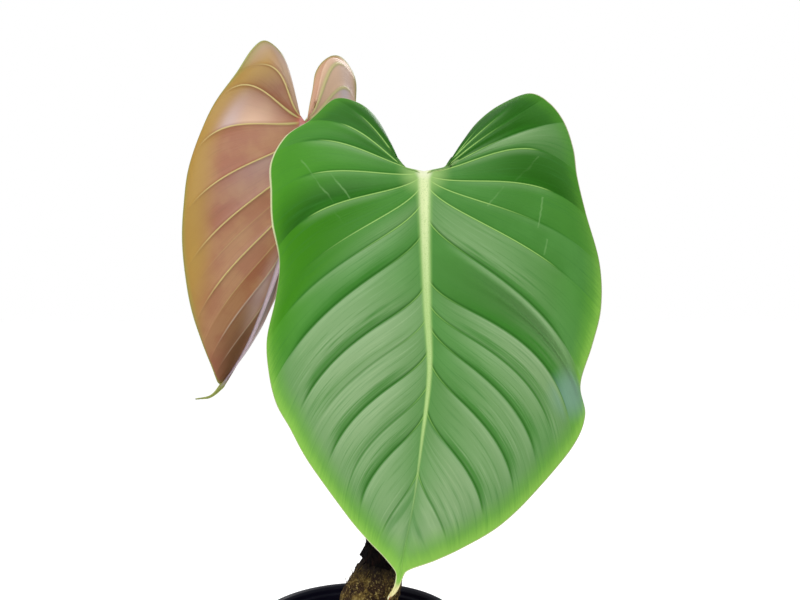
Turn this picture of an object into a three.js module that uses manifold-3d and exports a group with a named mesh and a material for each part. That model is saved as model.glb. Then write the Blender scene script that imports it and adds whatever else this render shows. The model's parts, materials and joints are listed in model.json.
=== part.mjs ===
// A potted philodendron with one mature leaf and one new leaf, in a round nursery pot.
// Millimetres, +Z up. The origin is the centre of the pot's base, and the plant faces -Y.

import * as THREE from 'three';
import { mergeVertices } from 'three/addons/utils/BufferGeometryUtils.js';
import Module from 'manifold-3d';

const wasm = await Module();
wasm.setup();

// Clearance between pieces that touch.
const GAP = 0.35;

// Pot: a thin moulded shell with a stepped collar, a rolled lip and drain holes in its base.
const RIM_RADIUS = 76;
const POT_HEIGHT = 123;
const BASE_RADIUS = 56;
const BASE_BEVEL = 2;
const BELLY_RADIUS = 68.5;
const WALL = 1.6;
const COLLAR_BOTTOM = 106;
const COLLAR_RADIUS = 72;
const STEP_HEIGHT = 117;
const POT_SIDES = 48;
const DRAIN_HOLES = 6;
const DRAIN_RADIUS = 4.5;
const DRAIN_CIRCLE = 42;
const DRAIN_SIDES = 14;

// Soil: its surface lies this high, with lumps of this height.
const SOIL_TOP = 103;
const SOIL_LUMP = 1.8;
const SOIL_SIDES = 32;
const SOIL_RINGS = 8;

// Stem: points along its middle, with the radius at each.
const STEM = [
  { at: [-12.5, 2, 60], radius: 14 },
  { at: [-7.5, 1, 88], radius: 18.5 },
  { at: [0.5, 0, 114], radius: 20.4 },
  { at: [9, 0, 137], radius: 20.6 },
  { at: [16.5, 0, 156], radius: 20.8 },
  { at: [19.4, 0, 165], radius: 18.6 },
  { at: [20.4, 0, 172], radius: 14 },
];
const STEM_SIDES = 20;
const STEM_STEPS = 24;
const SCAR_SPACING = 0.135;
const SCAR_HEIGHT = 1.0;

// Dead sheath: a fibrous sleeve round the petiole bases, on top of the stem.
const SHEATH = [
  { at: [18.9, 0, 165.5], radius: 18.6 },
  { at: [20, 0, 170], radius: 16.4 },
  { at: [20.6, 0, 176], radius: 14 },
  { at: [20.8, 0, 187], radius: 12.8 },
  { at: [20.9, 0, 199], radius: 12 },
];
const SHEATH_SIDES = 20;
const SHEATH_STEPS = 8;

// Petioles: each route runs from inside the stem's top to the sinus of its leaf.
const PETIOLE_BASE_RADIUS = 6;
const PETIOLE_TOP_RADIUS = 3.9;
const PETIOLE_SIDES = 12;
const PETIOLE_STEPS = 26;
const MATURE_ROUTE = [
  [25.1, -4.2, 160],
  [25.9, -6, 190],
  [30.5, -18, 250],
  [37, -31, 320],
  [42.5, -44, 388],
  [45.9, -51.5, 422],
  [46.9, -57, 434],
  [47, -64.6, 437.2],
];
const NEW_ROUTE = [
  [15.1, 4.2, 160],
  [14.1, 6, 190],
  [5.5, 17, 255],
  [-8.5, 32, 330],
  [-24.5, 45, 405],
  [-36.5, 54, 462],
  [-40.8, 56.8, 488],
  [-41.4, 57.6, 496],
  [-42.4, 60.2, 499.5],
];

// Leaves. A blade hangs from its sinus, the notch where the petiole joins it, and every point is
// measured from there as [right, up, back]. The midrib list runs from the sinus down to the end of
// the drip tip. Each row is one line that leaves the leaf's spine and ends on its margin, as a side
// vein does. It says where it leaves the spine, how far it bows, how far its margin rolls back,
// and where its left and right ends lie. Places on the spine count midrib points from 0 at the
// sinus, and run to -1 along the short naked ribs beside it. The lines of veins are places in
// the list of rows, each with the vein's depth in the left and in the right half.
const BLADE_THICKNESS = 0.8;

const MATURE_LEAF = {
  sinus: [47, -72, 441],
  underside: 1,
  upperLeft: [0, 0, -1],
  upperRight: [0, 0, -1],
  crown: 0.045,
  rollPower: 2.4,
  ripple: 1.2,
  groove: 1.0,
  veinWidth: 5,
  ribDepth: [5.0, 0.6],
  ribHalfWidth: [4.5, 0.9],
  midrib: [
    [0, 0, 0], [0.5, -41, -4], [1.7, -87, -8], [3, -128, -13], [-2, -171, -18.5],
    [-7.5, -209, -24], [-13, -235, -28.5], [-15.8, -250.5, -31.5], [-22.7, -263.5, -33.5],
  ],
  rows: [
    { spine: -1, bow: 0, roll: 0, left: [-14.5, 3, 1], right: [14.5, 3, 1] },
    { spine: -1, bow: 0, roll: 5, left: [-18, 12, 8], right: [19, 11, 8] },
    { spine: -1, bow: 0, roll: 8, left: [-22.5, 23, 13.5], right: [27, 22, 13.5] },
    { spine: -1, bow: 0, roll: 10, left: [-31.5, 39, 18], right: [36.5, 36, 18] },
    { spine: -1, bow: 0.02, roll: 11, left: [-43.5, 49, 20], right: [51.5, 48, 20] },
    { spine: -0.95, bow: 0.05, roll: 10, left: [-59.5, 51.5, 18], right: [70.5, 55, 18] },
    { spine: -0.85, bow: 0.08, roll: 10, left: [-75.5, 37, 17], right: [84, 48, 17] },
    { spine: -0.7, bow: 0.1, roll: 11, left: [-92, 25.5, 17], right: [94.5, 35, 17] },
    { spine: -0.4, bow: 0.08, roll: 12, left: [-102, 8, 16.5], right: [100, 18, 17] },
    { spine: 0.05, bow: 0.05, roll: 12, left: [-101.5, -12, 15], right: [102, -1, 15.5] },
    { spine: 0.14, bow: 0.03, roll: 12, left: [-100, -33, 12.5], right: [107.5, -25, 13] },
    { spine: 0.2, bow: 0.02, roll: 13, left: [-95.5, -58, 13], right: [116, -57.5, 12] },
    { spine: 0.3, bow: 0.03, roll: 12, left: [-97, -83, 6.5], right: [115.5, -88, 6.5] },
    { spine: 0.56, bow: 0.05, roll: 11, left: [-101.5, -109, 1.5], right: [109, -113, 2] },
    { spine: 0.88, bow: 0.07, roll: 11, left: [-100, -131.5, -0.5], right: [102, -134.5, 3.5] },
    { spine: 1.25, bow: 0.08, roll: 10, left: [-95, -149, -3], right: [102.5, -155, -2] },
    { spine: 1.63, bow: 0.08, roll: 10, left: [-86, -164, -5.5], right: [94.5, -176.5, -7] },
    { spine: 2.37, bow: 0.08, roll: 9, left: [-73.5, -185.5, -10.5], right: [71, -202, -12.5] },
    { spine: 3.2, bow: 0.08, roll: 7, left: [-49.5, -216, -17], right: [46.5, -223, -18] },
    { spine: 3.97, bow: 0.07, roll: 5, left: [-35, -231, -22.5], right: [22.5, -236, -23.5] },
    { spine: 4.97, bow: 0.05, roll: 3, left: [-25, -240.5, -26.5], right: [6.5, -242, -26.5] },
    { spine: 5.96, bow: 0.02, roll: 1, left: [-18.7, -247, -30], right: [-9.5, -246.5, -30] },
    { spine: 7, bow: 0, roll: 0, left: [-18.1, -251, -31.4], right: [-13.4, -250, -31.4] },
    { spine: 7.5, bow: 0, roll: 0, left: [-19.7, -257.2, -32.6], right: [-17.1, -258.2, -32.6] },
    { spine: 8, bow: 0, roll: 0, left: [-22.7, -263.5, -33.5], right: [-22.7, -263.5, -33.5] },
  ],
  veins: [
    { line: 3.8, left: 0, right: 0.6 },
    { line: 4.65, left: 1, right: 1 },
    { line: 5.7, left: 1, right: 0 },
    { line: 6.65, left: 1.2, right: 1.6 },
    { line: 8.5, left: 0.9, right: 1.1 },
    { line: 9.8, left: 0, right: 0.9 },
    { line: 10.4, left: 1, right: 0 },
    { line: 10.8, left: 0, right: 1 },
    { line: 12.1, left: 1.2, right: 0 },
    { line: 12.4, left: 0, right: 1.2 },
    { line: 12.95, left: 1.3, right: 0 },
    { line: 13.5, left: 0, right: 1.8 },
    { line: 14.8, left: 1.8, right: 0 },
    { line: 15.8, left: 0, right: 2.2 },
    { line: 16.4, left: 2.2, right: 0.6 },
    { line: 16.9, left: 0.6, right: 1.8 },
    { line: 17.6, left: 1.6, right: 1.6 },
    { line: 18.55, left: 1.4, right: 1.4 },
    { line: 19.5, left: 0.9, right: 1.1 },
    { line: 20.3, left: 0.5, right: 0.5 },
  ],
};

// The new leaf is folded along its midrib, with its underside to the front.
const NEW_LEAF = {
  sinus: [-47.5, 67, 505],
  underside: -1,
  upperLeft: [-0.16, 0, 0.99],
  upperRight: [-0.97, 0, 0.25],
  crown: -0.04,
  rollPower: 2,
  ripple: 1.0,
  groove: 0,
  veinWidth: 4,
  ribDepth: [4.5, 0.8],
  ribHalfWidth: [3.6, 0.9],
  midrib: [
    [0, 0, 0], [-4.5, -36, 3], [-10.5, -72.5, 6], [-22.5, -115.5, 9], [-36, -153, 10.5],
    [-51, -187, 11.5], [-71, -219.5, 12], [-77, -226, 12], [-83.5, -229, 12], [-92.5, -229.5, 11],
  ],
  rows: [
    { spine: -1, bow: 0, roll: 0, left: [-4, 5, 1], right: [3, 4.5, 2] },
    { spine: -1, bow: 0, roll: 0, left: [-7, 13, 3], right: [5, 13, 8] },
    { spine: -1, bow: 0, roll: 0, left: [-10.5, 24, 6], right: [5.5, 30, 17] },
    { spine: -1, bow: 0, roll: 0, left: [-13.2, 42, 9], right: [7.6, 48, 26] },
    { spine: -1, bow: 0.03, roll: 0, left: [-20.3, 59.5, 10], right: [12.5, 60.5, 34] },
    { spine: -1, bow: 0.06, roll: 0, left: [-33.5, 69, 9], right: [21, 67, 41] },
    { spine: -0.9, bow: 0.08, roll: 0, left: [-44.5, 60.5, 6], right: [30, 66, 48] },
    { spine: -0.6, bow: 0.18, roll: 0, left: [-56.5, 40.5, 3], right: [37, 54, 57] },
    { spine: -0.2, bow: 0.22, roll: 0, left: [-73, 14.5, -1], right: [39, 38, 64] },
    { spine: 0.1, bow: 0.17, roll: 0, left: [-84.5, -12.5, -5], right: [38, 12.5, 71] },
    { spine: 0.25, bow: 0.13, roll: 0, left: [-93, -41.5, -8], right: [33, -16.5, 77] },
    { spine: 0.45, bow: 0.08, roll: 0, left: [-96, -70, -10], right: [23.5, -45.5, 80] },
    { spine: 0.68, bow: 0.05, roll: 0, left: [-97.5, -98.5, -10], right: [9.5, -76, 80] },
    { spine: 1, bow: 0.03, roll: 0, left: [-95.5, -127, -8], right: [-9.5, -106, 77] },
    { spine: 1.6, bow: 0.045, roll: 0, left: [-91, -155.5, -5], right: [-27, -129, 71] },
    { spine: 2.35, bow: 0.045, roll: 0, left: [-83, -184.5, 0], right: [-39.8, -160.5, 58] },
    { spine: 3.25, bow: 0.03, roll: 0, left: [-77, -203, 5], right: [-54.3, -189, 42] },
    { spine: 4.7, bow: 0.02, roll: 0, left: [-73.5, -215, 9], right: [-66.8, -210, 24] },
    { spine: 6, bow: 0, roll: 0, left: [-72.6, -218.3, 12], right: [-69.6, -220.8, 12.6] },
    { spine: 7.5, bow: 0, roll: 0, left: [-79.8, -226.6, 12], right: [-80.4, -229.3, 12] },
    { spine: 9, bow: 0, roll: 0, left: [-92.5, -229.5, 11], right: [-92.5, -229.5, 11] },
  ],
  veins: [
    { line: 4.6, left: 0.5, right: 0.5 },
    { line: 6, left: 1, right: 1 },
    { line: 8.1, left: 1.3, right: 1.3 },
    { line: 9.8, left: 1.2, right: 1.2 },
    { line: 11.3, left: 1.2, right: 1.2 },
    { line: 12.9, left: 1.4, right: 1.4 },
    { line: 14.5, left: 1.4, right: 1.4 },
    { line: 15.8, left: 1.2, right: 1.2 },
    { line: 17, left: 0.8, right: 0.8 },
  ],
};

// The blade's mesh: columns from the spine to the margin, and the widest step between its lines.
const BLADE_COLUMNS = 8;
const LINE_SPACING = 0.6;

// A mesh whose shared corners are merged and whose flat triangles are dropped.
function weld(geometry) {
  const plain = geometry.clone();
  plain.deleteAttribute('normal');
  plain.deleteAttribute('uv');
  const merged = mergeVertices(plain, 1e-4);
  const kept = [];
  const corners = merged.index.array;
  for (let i = 0; i < corners.length; i += 3) {
    const [a, b, c] = [corners[i], corners[i + 1], corners[i + 2]];
    if (a !== b && b !== c && c !== a) kept.push(a, b, c);
  }
  merged.setIndex(kept);
  return merged;
}

function toSolid(geometry) {
  const welded = weld(geometry);
  return new wasm.Manifold(new wasm.Mesh({
    numProp: 3,
    vertProperties: new Float32Array(welded.attributes.position.array),
    triVerts: new Uint32Array(welded.index.array),
  }));
}

function fromSolid(solid) {
  const mesh = solid.getMesh();
  return indexedGeometry(Array.from(mesh.vertProperties), Array.from(mesh.triVerts));
}

function indexedGeometry(positions, triangles) {
  const geometry = new THREE.BufferGeometry();
  geometry.setAttribute('position', new THREE.Float32BufferAttribute(positions, 3));
  geometry.setIndex(triangles);
  return geometry;
}

// A profile of [radius, height] points turned round the Z axis.
function turned(profile, sides) {
  const points = profile.map(([radius, height]) => new THREE.Vector2(radius, height));
  const geometry = new THREE.LatheGeometry(points, sides);
  geometry.rotateX(Math.PI / 2);
  return geometry;
}

function smoothCurve(points) {
  const corners = points.map((point) => new THREE.Vector3(...point));
  return new THREE.CatmullRomCurve3(corners, false, 'catmullrom', 0.5);
}

// A closed tube along a curve, whose radius follows the place along it and the angle round it.
function taperedTube(curve, radiusAt, sides, steps) {
  const frames = curve.computeFrenetFrames(steps, false);
  const positions = [];
  const triangles = [];
  for (let step = 0; step <= steps; step += 1) {
    const along = step / steps;
    const middle = curve.getPointAt(along);
    for (let side = 0; side < sides; side += 1) {
      const angle = (side / sides) * Math.PI * 2;
      const radius = radiusAt(along, angle);
      const point = middle.clone();
      point.addScaledVector(frames.normals[step], Math.cos(angle) * radius);
      point.addScaledVector(frames.binormals[step], Math.sin(angle) * radius);
      positions.push(point.x, point.y, point.z);
    }
  }
  for (let step = 0; step < steps; step += 1) {
    for (let side = 0; side < sides; side += 1) {
      const next = (side + 1) % sides;
      const low = step * sides;
      const high = low + sides;
      triangles.push(low + side, low + next, high + next);
      triangles.push(low + side, high + next, high + side);
    }
  }
  const first = curve.getPointAt(0);
  const last = curve.getPointAt(1);
  positions.push(first.x, first.y, first.z, last.x, last.y, last.z);
  const firstCentre = (steps + 1) * sides;
  const lastCentre = firstCentre + 1;
  for (let side = 0; side < sides; side += 1) {
    const next = (side + 1) % sides;
    triangles.push(firstCentre, next, side);
    triangles.push(lastCentre, steps * sides + side, steps * sides + next);
  }
  return indexedGeometry(positions, triangles);
}

// The value at a place in a list whose entries are evenly spaced, drawn straight between them.
function valueAlong(values, along) {
  const place = THREE.MathUtils.clamp(along, 0, 1) * (values.length - 1);
  const index = Math.min(Math.floor(place), values.length - 2);
  return THREE.MathUtils.lerp(values[index], values[index + 1], place - index);
}

// Pot.

function makePot() {
  const profile = [
    [0, 0],
    [BASE_RADIUS - BASE_BEVEL, 0],
    [BASE_RADIUS, BASE_BEVEL],
    [BELLY_RADIUS, COLLAR_BOTTOM],
    [COLLAR_RADIUS - 0.6, COLLAR_BOTTOM + 1.4],
    [COLLAR_RADIUS, POT_HEIGHT - 4.4],
    [RIM_RADIUS - 0.8, POT_HEIGHT - 3.6],
    [RIM_RADIUS, POT_HEIGHT - 2],
    [RIM_RADIUS - 0.7, POT_HEIGHT - 0.5],
    [RIM_RADIUS - 2.4, POT_HEIGHT],
    [RIM_RADIUS - 4.4, POT_HEIGHT - 1],
    [RIM_RADIUS - 5.4, POT_HEIGHT - 3],
    [RIM_RADIUS - 5.6, STEP_HEIGHT],
    [COLLAR_RADIUS - 2.4, STEP_HEIGHT - 1.6],
    [COLLAR_RADIUS - 2.8, COLLAR_BOTTOM + 3],
    [BELLY_RADIUS - WALL, COLLAR_BOTTOM + 0.6],
    [BASE_RADIUS - WALL, 3],
    [BASE_RADIUS - WALL - 1.6, WALL],
    [0, WALL],
  ];
  let pot = toSolid(turned(profile, POT_SIDES));
  for (let hole = 0; hole < DRAIN_HOLES; hole += 1) {
    const angle = (hole / DRAIN_HOLES) * Math.PI * 2;
    const drill = new THREE.CylinderGeometry(DRAIN_RADIUS, DRAIN_RADIUS, 6 * WALL, DRAIN_SIDES);
    drill.rotateX(Math.PI / 2);
    drill.translate(DRAIN_CIRCLE * Math.cos(angle), DRAIN_CIRCLE * Math.sin(angle), 0);
    pot = pot.subtract(toSolid(drill));
  }
  return fromSolid(pot);
}

// Soil.

function soilHeight(x, y) {
  const broad = Math.sin(x * 0.11 + 1.3) * Math.cos(y * 0.13 - 0.4);
  const fine = Math.sin(x * 0.33 - y * 0.21) * Math.cos(y * 0.37 + x * 0.12 + 2);
  return SOIL_TOP + SOIL_LUMP * (0.7 * broad + 0.6 * fine);
}

function makeSoil(stemHole) {
  // The soil's radius at a height, a little clear of the pot's tapered wall.
  const radiusAt = (height) => {
    const share = (height - BASE_BEVEL) / (COLLAR_BOTTOM - BASE_BEVEL);
    return THREE.MathUtils.lerp(BASE_RADIUS, BELLY_RADIUS, share) - WALL - 2 * GAP;
  };
  const edge = radiusAt(SOIL_TOP);
  const profile = [[0, WALL + GAP], [BASE_RADIUS - WALL - 3, WALL + GAP]];
  profile.push([radiusAt(6), 5]);
  profile.push([radiusAt(SOIL_TOP - 8), SOIL_TOP - 8]);
  for (let ring = SOIL_RINGS; ring >= 0; ring -= 1) {
    profile.push([(edge * ring) / SOIL_RINGS, SOIL_TOP]);
  }
  const geometry = turned(profile, SOIL_SIDES);
  const position = geometry.attributes.position;
  for (let i = 0; i < position.count; i += 1) {
    if (position.getZ(i) < SOIL_TOP - 1) continue;
    position.setZ(i, soilHeight(position.getX(i), position.getY(i)));
  }
  return fromSolid(toSolid(geometry).subtract(stemHole));
}

// Stem.

const stemCurve = smoothCurve(STEM.map((point) => point.at));

// The stem swells at the scar of each fallen leaf, and is gnarled a little between them.
function stemRadius(along, angle) {
  const plain = valueAlong(STEM.map((point) => point.radius), along);
  const ring = Math.cos((along / SCAR_SPACING) * Math.PI + 0.25 * Math.sin(angle));
  const scar = Math.pow(Math.abs(ring), 6);
  const gnarl = 0.5 * Math.sin(3 * angle + 9 * along) + 0.35 * Math.sin(5 * angle - 14 * along);
  return plain + SCAR_HEIGHT * (scar - 0.5) + gnarl;
}

function stemSolid(extra) {
  const radiusAt = (along, angle) => stemRadius(along, angle) + extra;
  return toSolid(taperedTube(stemCurve, radiusAt, STEM_SIDES, STEM_STEPS));
}

// Dead sheath.

function sheathSolid() {
  const curve = smoothCurve(SHEATH.map((point) => point.at));
  const radii = SHEATH.map((point) => point.radius);
  const radiusAt = (along, angle) => {
    const pleat = 0.45 * Math.sin(7 * angle + 3 * along) + 0.3 * Math.sin(11 * angle);
    return valueAlong(radii, along) + pleat;
  };
  return toSolid(taperedTube(curve, radiusAt, SHEATH_SIDES, SHEATH_STEPS));
}

// Petioles.

// A petiole thins towards its leaf and swells a little again where it bends to the blade.
function petioleRadius(along) {
  const taper = THREE.MathUtils.lerp(PETIOLE_BASE_RADIUS, PETIOLE_TOP_RADIUS, Math.pow(along, 0.7));
  const swelling = 0.7 * THREE.MathUtils.smoothstep(along, 0.86, 0.95);
  return taper + swelling;
}

function petioleGeometry(route, extra) {
  const radiusAt = (along) => petioleRadius(along) + extra;
  return taperedTube(smoothCurve(route), radiusAt, PETIOLE_SIDES, PETIOLE_STEPS);
}

// Leaves.

// A leaf's lists as smooth curves, each read by a place in the list.
function bladeCurves(leaf) {
  const read = (points) => {
    const curve = smoothCurve(points);
    return (place) => curve.getPoint(THREE.MathUtils.clamp(place / (points.length - 1), 0, 1));
  };
  return {
    midrib: read(leaf.midrib),
    left: read(leaf.rows.map((row) => row.left)),
    right: read(leaf.rows.map((row) => row.right)),
    shape: read(leaf.rows.map((row) => [row.spine, row.bow, row.roll])),
  };
}

function spinePoint(curves, side, spine) {
  if (spine >= 0) return curves.midrib(spine);
  return curves[side](0).multiplyScalar(-spine);
}

function bladePoint(leaf, curves, side, line, share) {
  const shape = curves.shape(line);
  const spine = Math.max(shape.x, -1);
  const root = spinePoint(curves, side, spine);
  const edge = curves[side](line);
  const chord = edge.clone().sub(root);
  const length = chord.length();
  const upper = new THREE.Vector3(...(side === 'left' ? leaf.upperLeft : leaf.upperRight));
  const arch = 4 * share * (1 - share);
  const point = root.clone().addScaledVector(chord, share);
  if (length > 0.01) {
    chord.divideScalar(length);
    const towardsBase = curves[side](Math.max(line - 0.5, 0)).sub(edge);
    towardsBase.addScaledVector(chord, -towardsBase.dot(chord));
    if (towardsBase.length() > 0.01) {
      point.addScaledVector(towardsBase.normalize(), shape.y * length * arch);
    }
  }
  const rolled = shape.z * (Math.pow(share, leaf.rollPower) - share);
  const wave = leaf.ripple * Math.sin(2.1 * line + (side === 'left' ? 0 : 2)) * Math.pow(share, 4);
  const calm = THREE.MathUtils.smoothstep(length, 8, 60);
  point.addScaledVector(upper, leaf.crown * length * arch - rolled + wave * calm);
  return point;
}

// How far the blade is drawn in at its veins and along the groove of the midrib.
function bladeRelief(leaf, curves, side, line, share) {
  const before = bladePoint(leaf, curves, side, Math.max(line - 0.1, 0), share);
  const after = bladePoint(leaf, curves, side, Math.min(line + 0.1, leaf.rows.length - 1), share);
  const inner = bladePoint(leaf, curves, side, line, Math.max(share - 0.02, 0));
  const outer = bladePoint(leaf, curves, side, line, Math.min(share + 0.02, 1));
  const along = outer.sub(inner).normalize();
  const spacing = after.sub(before).cross(along).length() / 0.2;
  let depth = 0;
  for (const vein of leaf.veins) {
    const distance = (Math.abs(line - vein.line) * spacing) / leaf.veinWidth;
    depth = Math.max(depth, vein[side] * Math.exp(-distance * distance));
  }
  const length = curves[side](line).distanceTo(spinePoint(curves, side, curves.shape(line).x));
  const calm = THREE.MathUtils.smoothstep(length, 10, 50);
  const inside = THREE.MathUtils.smoothstep(share, 0, 0.15) * (1 - Math.pow(share, 5));
  return -depth * inside * calm;
}

function ribAmount(leaf, range, spine) {
  if (spine < 0) return THREE.MathUtils.lerp(range[0], range[0] * 0.35, -spine);
  return THREE.MathUtils.lerp(range[0], range[1], Math.pow(spine / (leaf.midrib.length - 1), 0.7));
}

// The midrib lies in a shallow groove that starts below the sinus and dies out at the tip.
function grooveDepth(leaf, spine) {
  const share = spine / (leaf.midrib.length - 1);
  return leaf.groove * THREE.MathUtils.smoothstep(spine, 0, 1) * (1 - share);
}

// The lines that the mesh follows: each vein, the middle between two veins, and the ends.
function meshLines(leaf) {
  const last = leaf.rows.length - 1;
  const lines = new Set([0, 1, 2, 3, last - 3, last - 2, last - 1, last]);
  leaf.veins.forEach((vein, index) => {
    lines.add(vein.line);
    const next = leaf.veins[index + 1];
    if (!next) return;
    const pieces = Math.ceil((next.line - vein.line) / LINE_SPACING);
    for (let piece = 1; piece < pieces; piece += 1) {
      lines.add(THREE.MathUtils.lerp(vein.line, next.line, piece / pieces));
    }
  });
  return [...lines].sort((a, b) => a - b);
}

function columnShares(ribShare) {
  const shares = [0, ribShare];
  for (let column = 2; column <= BLADE_COLUMNS; column += 1) {
    const even = (column - 1) / (BLADE_COLUMNS - 1);
    shares.push(ribShare + (1 - ribShare) * (1 - Math.pow(1 - even, 1.2)));
  }
  return shares;
}

function makeBlade(leaf) {
  const curves = bladeCurves(leaf);
  const origin = new THREE.Vector3(...leaf.sinus);
  const corners = [];
  const ribs = [];
  const known = new Map();
  const cornerAt = (point, rib) => {
    const key = [point.x, point.y, point.z].map((value) => Math.round(value * 200)).join(' ');
    if (!known.has(key)) {
      known.set(key, corners.length);
      corners.push(point);
      ribs.push(rib);
    }
    return known.get(key);
  };

  // The upper face, half by half.
  const faces = [];
  const lines = meshLines(leaf);
  for (const side of ['left', 'right']) {
    const grid = lines.map((line) => {
      const spine = Math.max(curves.shape(line).x, -1);
      const length = curves[side](line).distanceTo(spinePoint(curves, side, spine));
      const halfWidth = ribAmount(leaf, leaf.ribHalfWidth, spine);
      const ribShare = Math.min(halfWidth / Math.max(length, 0.01), 0.3);
      return columnShares(ribShare).map((share, column) => {
        const point = bladePoint(leaf, curves, side, line, share);
        const upper = new THREE.Vector3(...(side === 'left' ? leaf.upperLeft : leaf.upperRight));
        point.addScaledVector(upper, bladeRelief(leaf, curves, side, line, share));
        const rib = column === 0 ? ribAmount(leaf, leaf.ribDepth, spine) : 0;
        if (column === 0) point.z += leaf.underside * grooveDepth(leaf, spine);
        return cornerAt(point, rib);
      });
    });
    const turn = (side === 'left' ? 1 : -1) * leaf.underside;
    for (let row = 0; row + 1 < grid.length; row += 1) {
      for (let column = 0; column < BLADE_COLUMNS; column += 1) {
        const a = grid[row][column];
        const b = grid[row][column + 1];
        const c = grid[row + 1][column + 1];
        const d = grid[row + 1][column];
        for (const face of [[a, b, c], [a, c, d]]) {
          if (new Set(face).size < 3) continue;
          faces.push(turn > 0 ? face : face.reverse());
        }
      }
    }
  }

  // The blade's points as [right, up, back] become the part's X, Z and Y.
  const top = corners.map((point) => new THREE.Vector3(point.x, point.z, point.y).add(origin));
  const normals = top.map(() => new THREE.Vector3());
  for (const [a, b, c] of faces) {
    const normal = top[b].clone().sub(top[a]).cross(top[c].clone().sub(top[a]));
    for (const corner of [a, b, c]) normals[corner].add(normal);
  }
  const under = top.map((point, corner) => {
    const depth = BLADE_THICKNESS + ribs[corner];
    return point.clone().addScaledVector(normals[corner].normalize(), -depth);
  });

  // Both faces are split alike, and a wall closes every edge that only one triangle uses.
  const count = top.length;
  const triangles = [];
  const edges = new Set();
  for (const [a, b, c] of faces) {
    triangles.push(a, b, c, count + c, count + b, count + a);
    for (const [from, to] of [[a, b], [b, c], [c, a]]) edges.add(`${from} ${to}`);
  }
  for (const edge of edges) {
    const [from, to] = edge.split(' ').map(Number);
    if (edges.has(`${to} ${from}`)) continue;
    triangles.push(to, from, count + from, to, count + from, count + to);
  }
  const positions = [...top, ...under].flatMap((point) => [point.x, point.y, point.z]);
  return indexedGeometry(positions, triangles);
}

// The whole plant.

function material(color, roughness) {
  return new THREE.MeshStandardMaterial({ color, roughness, metalness: 0 });
}

function piece(name, geometry, look) {
  const mesh = new THREE.Mesh(geometry, look);
  mesh.name = name;
  return mesh;
}

const matureHole = toSolid(petioleGeometry(MATURE_ROUTE, GAP));
const newHole = toSolid(petioleGeometry(NEW_ROUTE, GAP));
const stem = stemSolid(0).subtract(matureHole).subtract(newHole);
const sheath = sheathSolid().subtract(stemSolid(GAP)).subtract(matureHole).subtract(newHole);

const plant = new THREE.Group();
plant.add(piece('pot', makePot(), material('#15161f', 0.42)));
plant.add(piece('soil', makeSoil(stemSolid(GAP)), material('#3a2a1e', 0.95)));
plant.add(piece('stem', fromSolid(stem), material('#57441f', 0.85)));
plant.add(piece('old_sheath', fromSolid(sheath), material('#1d110d', 0.9)));
plant.add(piece('petiole_mature', petioleGeometry(MATURE_ROUTE, 0), material('#7d9a4a', 0.5)));
plant.add(piece('petiole_new', petioleGeometry(NEW_ROUTE, 0), material('#a98a4c', 0.5)));
plant.add(piece('leaf_mature', makeBlade(MATURE_LEAF), material('#5a9a3c', 0.45)));
plant.add(piece('leaf_new', makeBlade(NEW_LEAF), material('#b0704e', 0.45)));

export default plant;
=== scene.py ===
"""Dresses a potted philodendron with one mature leaf and one new leaf."""

import json
import math
import random

import bmesh
import bpy
import numpy as np
from mathutils import Matrix, Vector, noise


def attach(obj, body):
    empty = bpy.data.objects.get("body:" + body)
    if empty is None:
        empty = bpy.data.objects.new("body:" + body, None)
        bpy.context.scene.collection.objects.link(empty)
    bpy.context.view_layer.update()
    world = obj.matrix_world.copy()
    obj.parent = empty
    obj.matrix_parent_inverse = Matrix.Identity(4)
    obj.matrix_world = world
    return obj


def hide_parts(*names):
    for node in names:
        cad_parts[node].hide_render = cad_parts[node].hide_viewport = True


bl_info = {
    "name": "Potted Philodendron",
    "version": (1, 0, 0),
    "blender": (4, 5, 0),
    "location": "3D View > Sidebar > Plant",
    "description": "Builds a potted philodendron with a mature leaf and a new leaf",
    "category": "Object",
}

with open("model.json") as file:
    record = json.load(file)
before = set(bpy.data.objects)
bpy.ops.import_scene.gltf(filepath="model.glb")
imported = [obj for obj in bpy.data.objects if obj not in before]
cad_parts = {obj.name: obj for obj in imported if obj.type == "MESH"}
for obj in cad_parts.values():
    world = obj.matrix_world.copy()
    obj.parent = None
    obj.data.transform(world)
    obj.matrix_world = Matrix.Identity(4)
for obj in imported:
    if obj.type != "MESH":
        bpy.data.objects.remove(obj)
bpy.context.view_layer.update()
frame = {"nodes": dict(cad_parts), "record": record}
MM = 0.001


def linear(colour):
    """An sRGB colour such as #336699 as linear red, green and blue."""
    values = [int(colour[place : place + 2], 16) / 255 for place in (1, 3, 5)]
    return tuple(v / 12.92 if v <= 0.04045 else ((v + 0.055) / 1.055) ** 2.4 for v in values)


def paint(colour):
    """The same colour with an alpha of one, for a node's colour socket."""
    return (*linear(colour), 1.0)


def smoothstep(value, low, high):
    """Goes softly from 0 at low to 1 at high, where low may be the larger."""
    share = min(max((value - low) / (high - low), 0.0), 1.0)
    return share * share * (3 - 2 * share)


def lerp(start, end, share):
    """A value that lies by a share on the way from start to end."""
    return start + (end - start) * share


# Settings that a user would change.


class BladeSettings:
    line_step: bpy.props.FloatProperty(
        name="Line step", description="Widest step between the lines of the mesh", default=0.13
    )
    thickness: bpy.props.FloatProperty(
        name="Thickness", description="Thickness of the blade", default=0.0008, unit="LENGTH"
    )


class MatureLeafSettings(BladeSettings, bpy.types.PropertyGroup):
    green: bpy.props.FloatVectorProperty(
        name="Green", description="Plain green of the blade", subtype="COLOR",
        default=linear("#4b8838"),
    )


class NewLeafSettings(BladeSettings, bpy.types.PropertyGroup):
    bronze: bpy.props.FloatVectorProperty(
        name="Bronze", description="Plain bronze of the underside", subtype="COLOR",
        default=linear("#a5674a"),
    )


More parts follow.
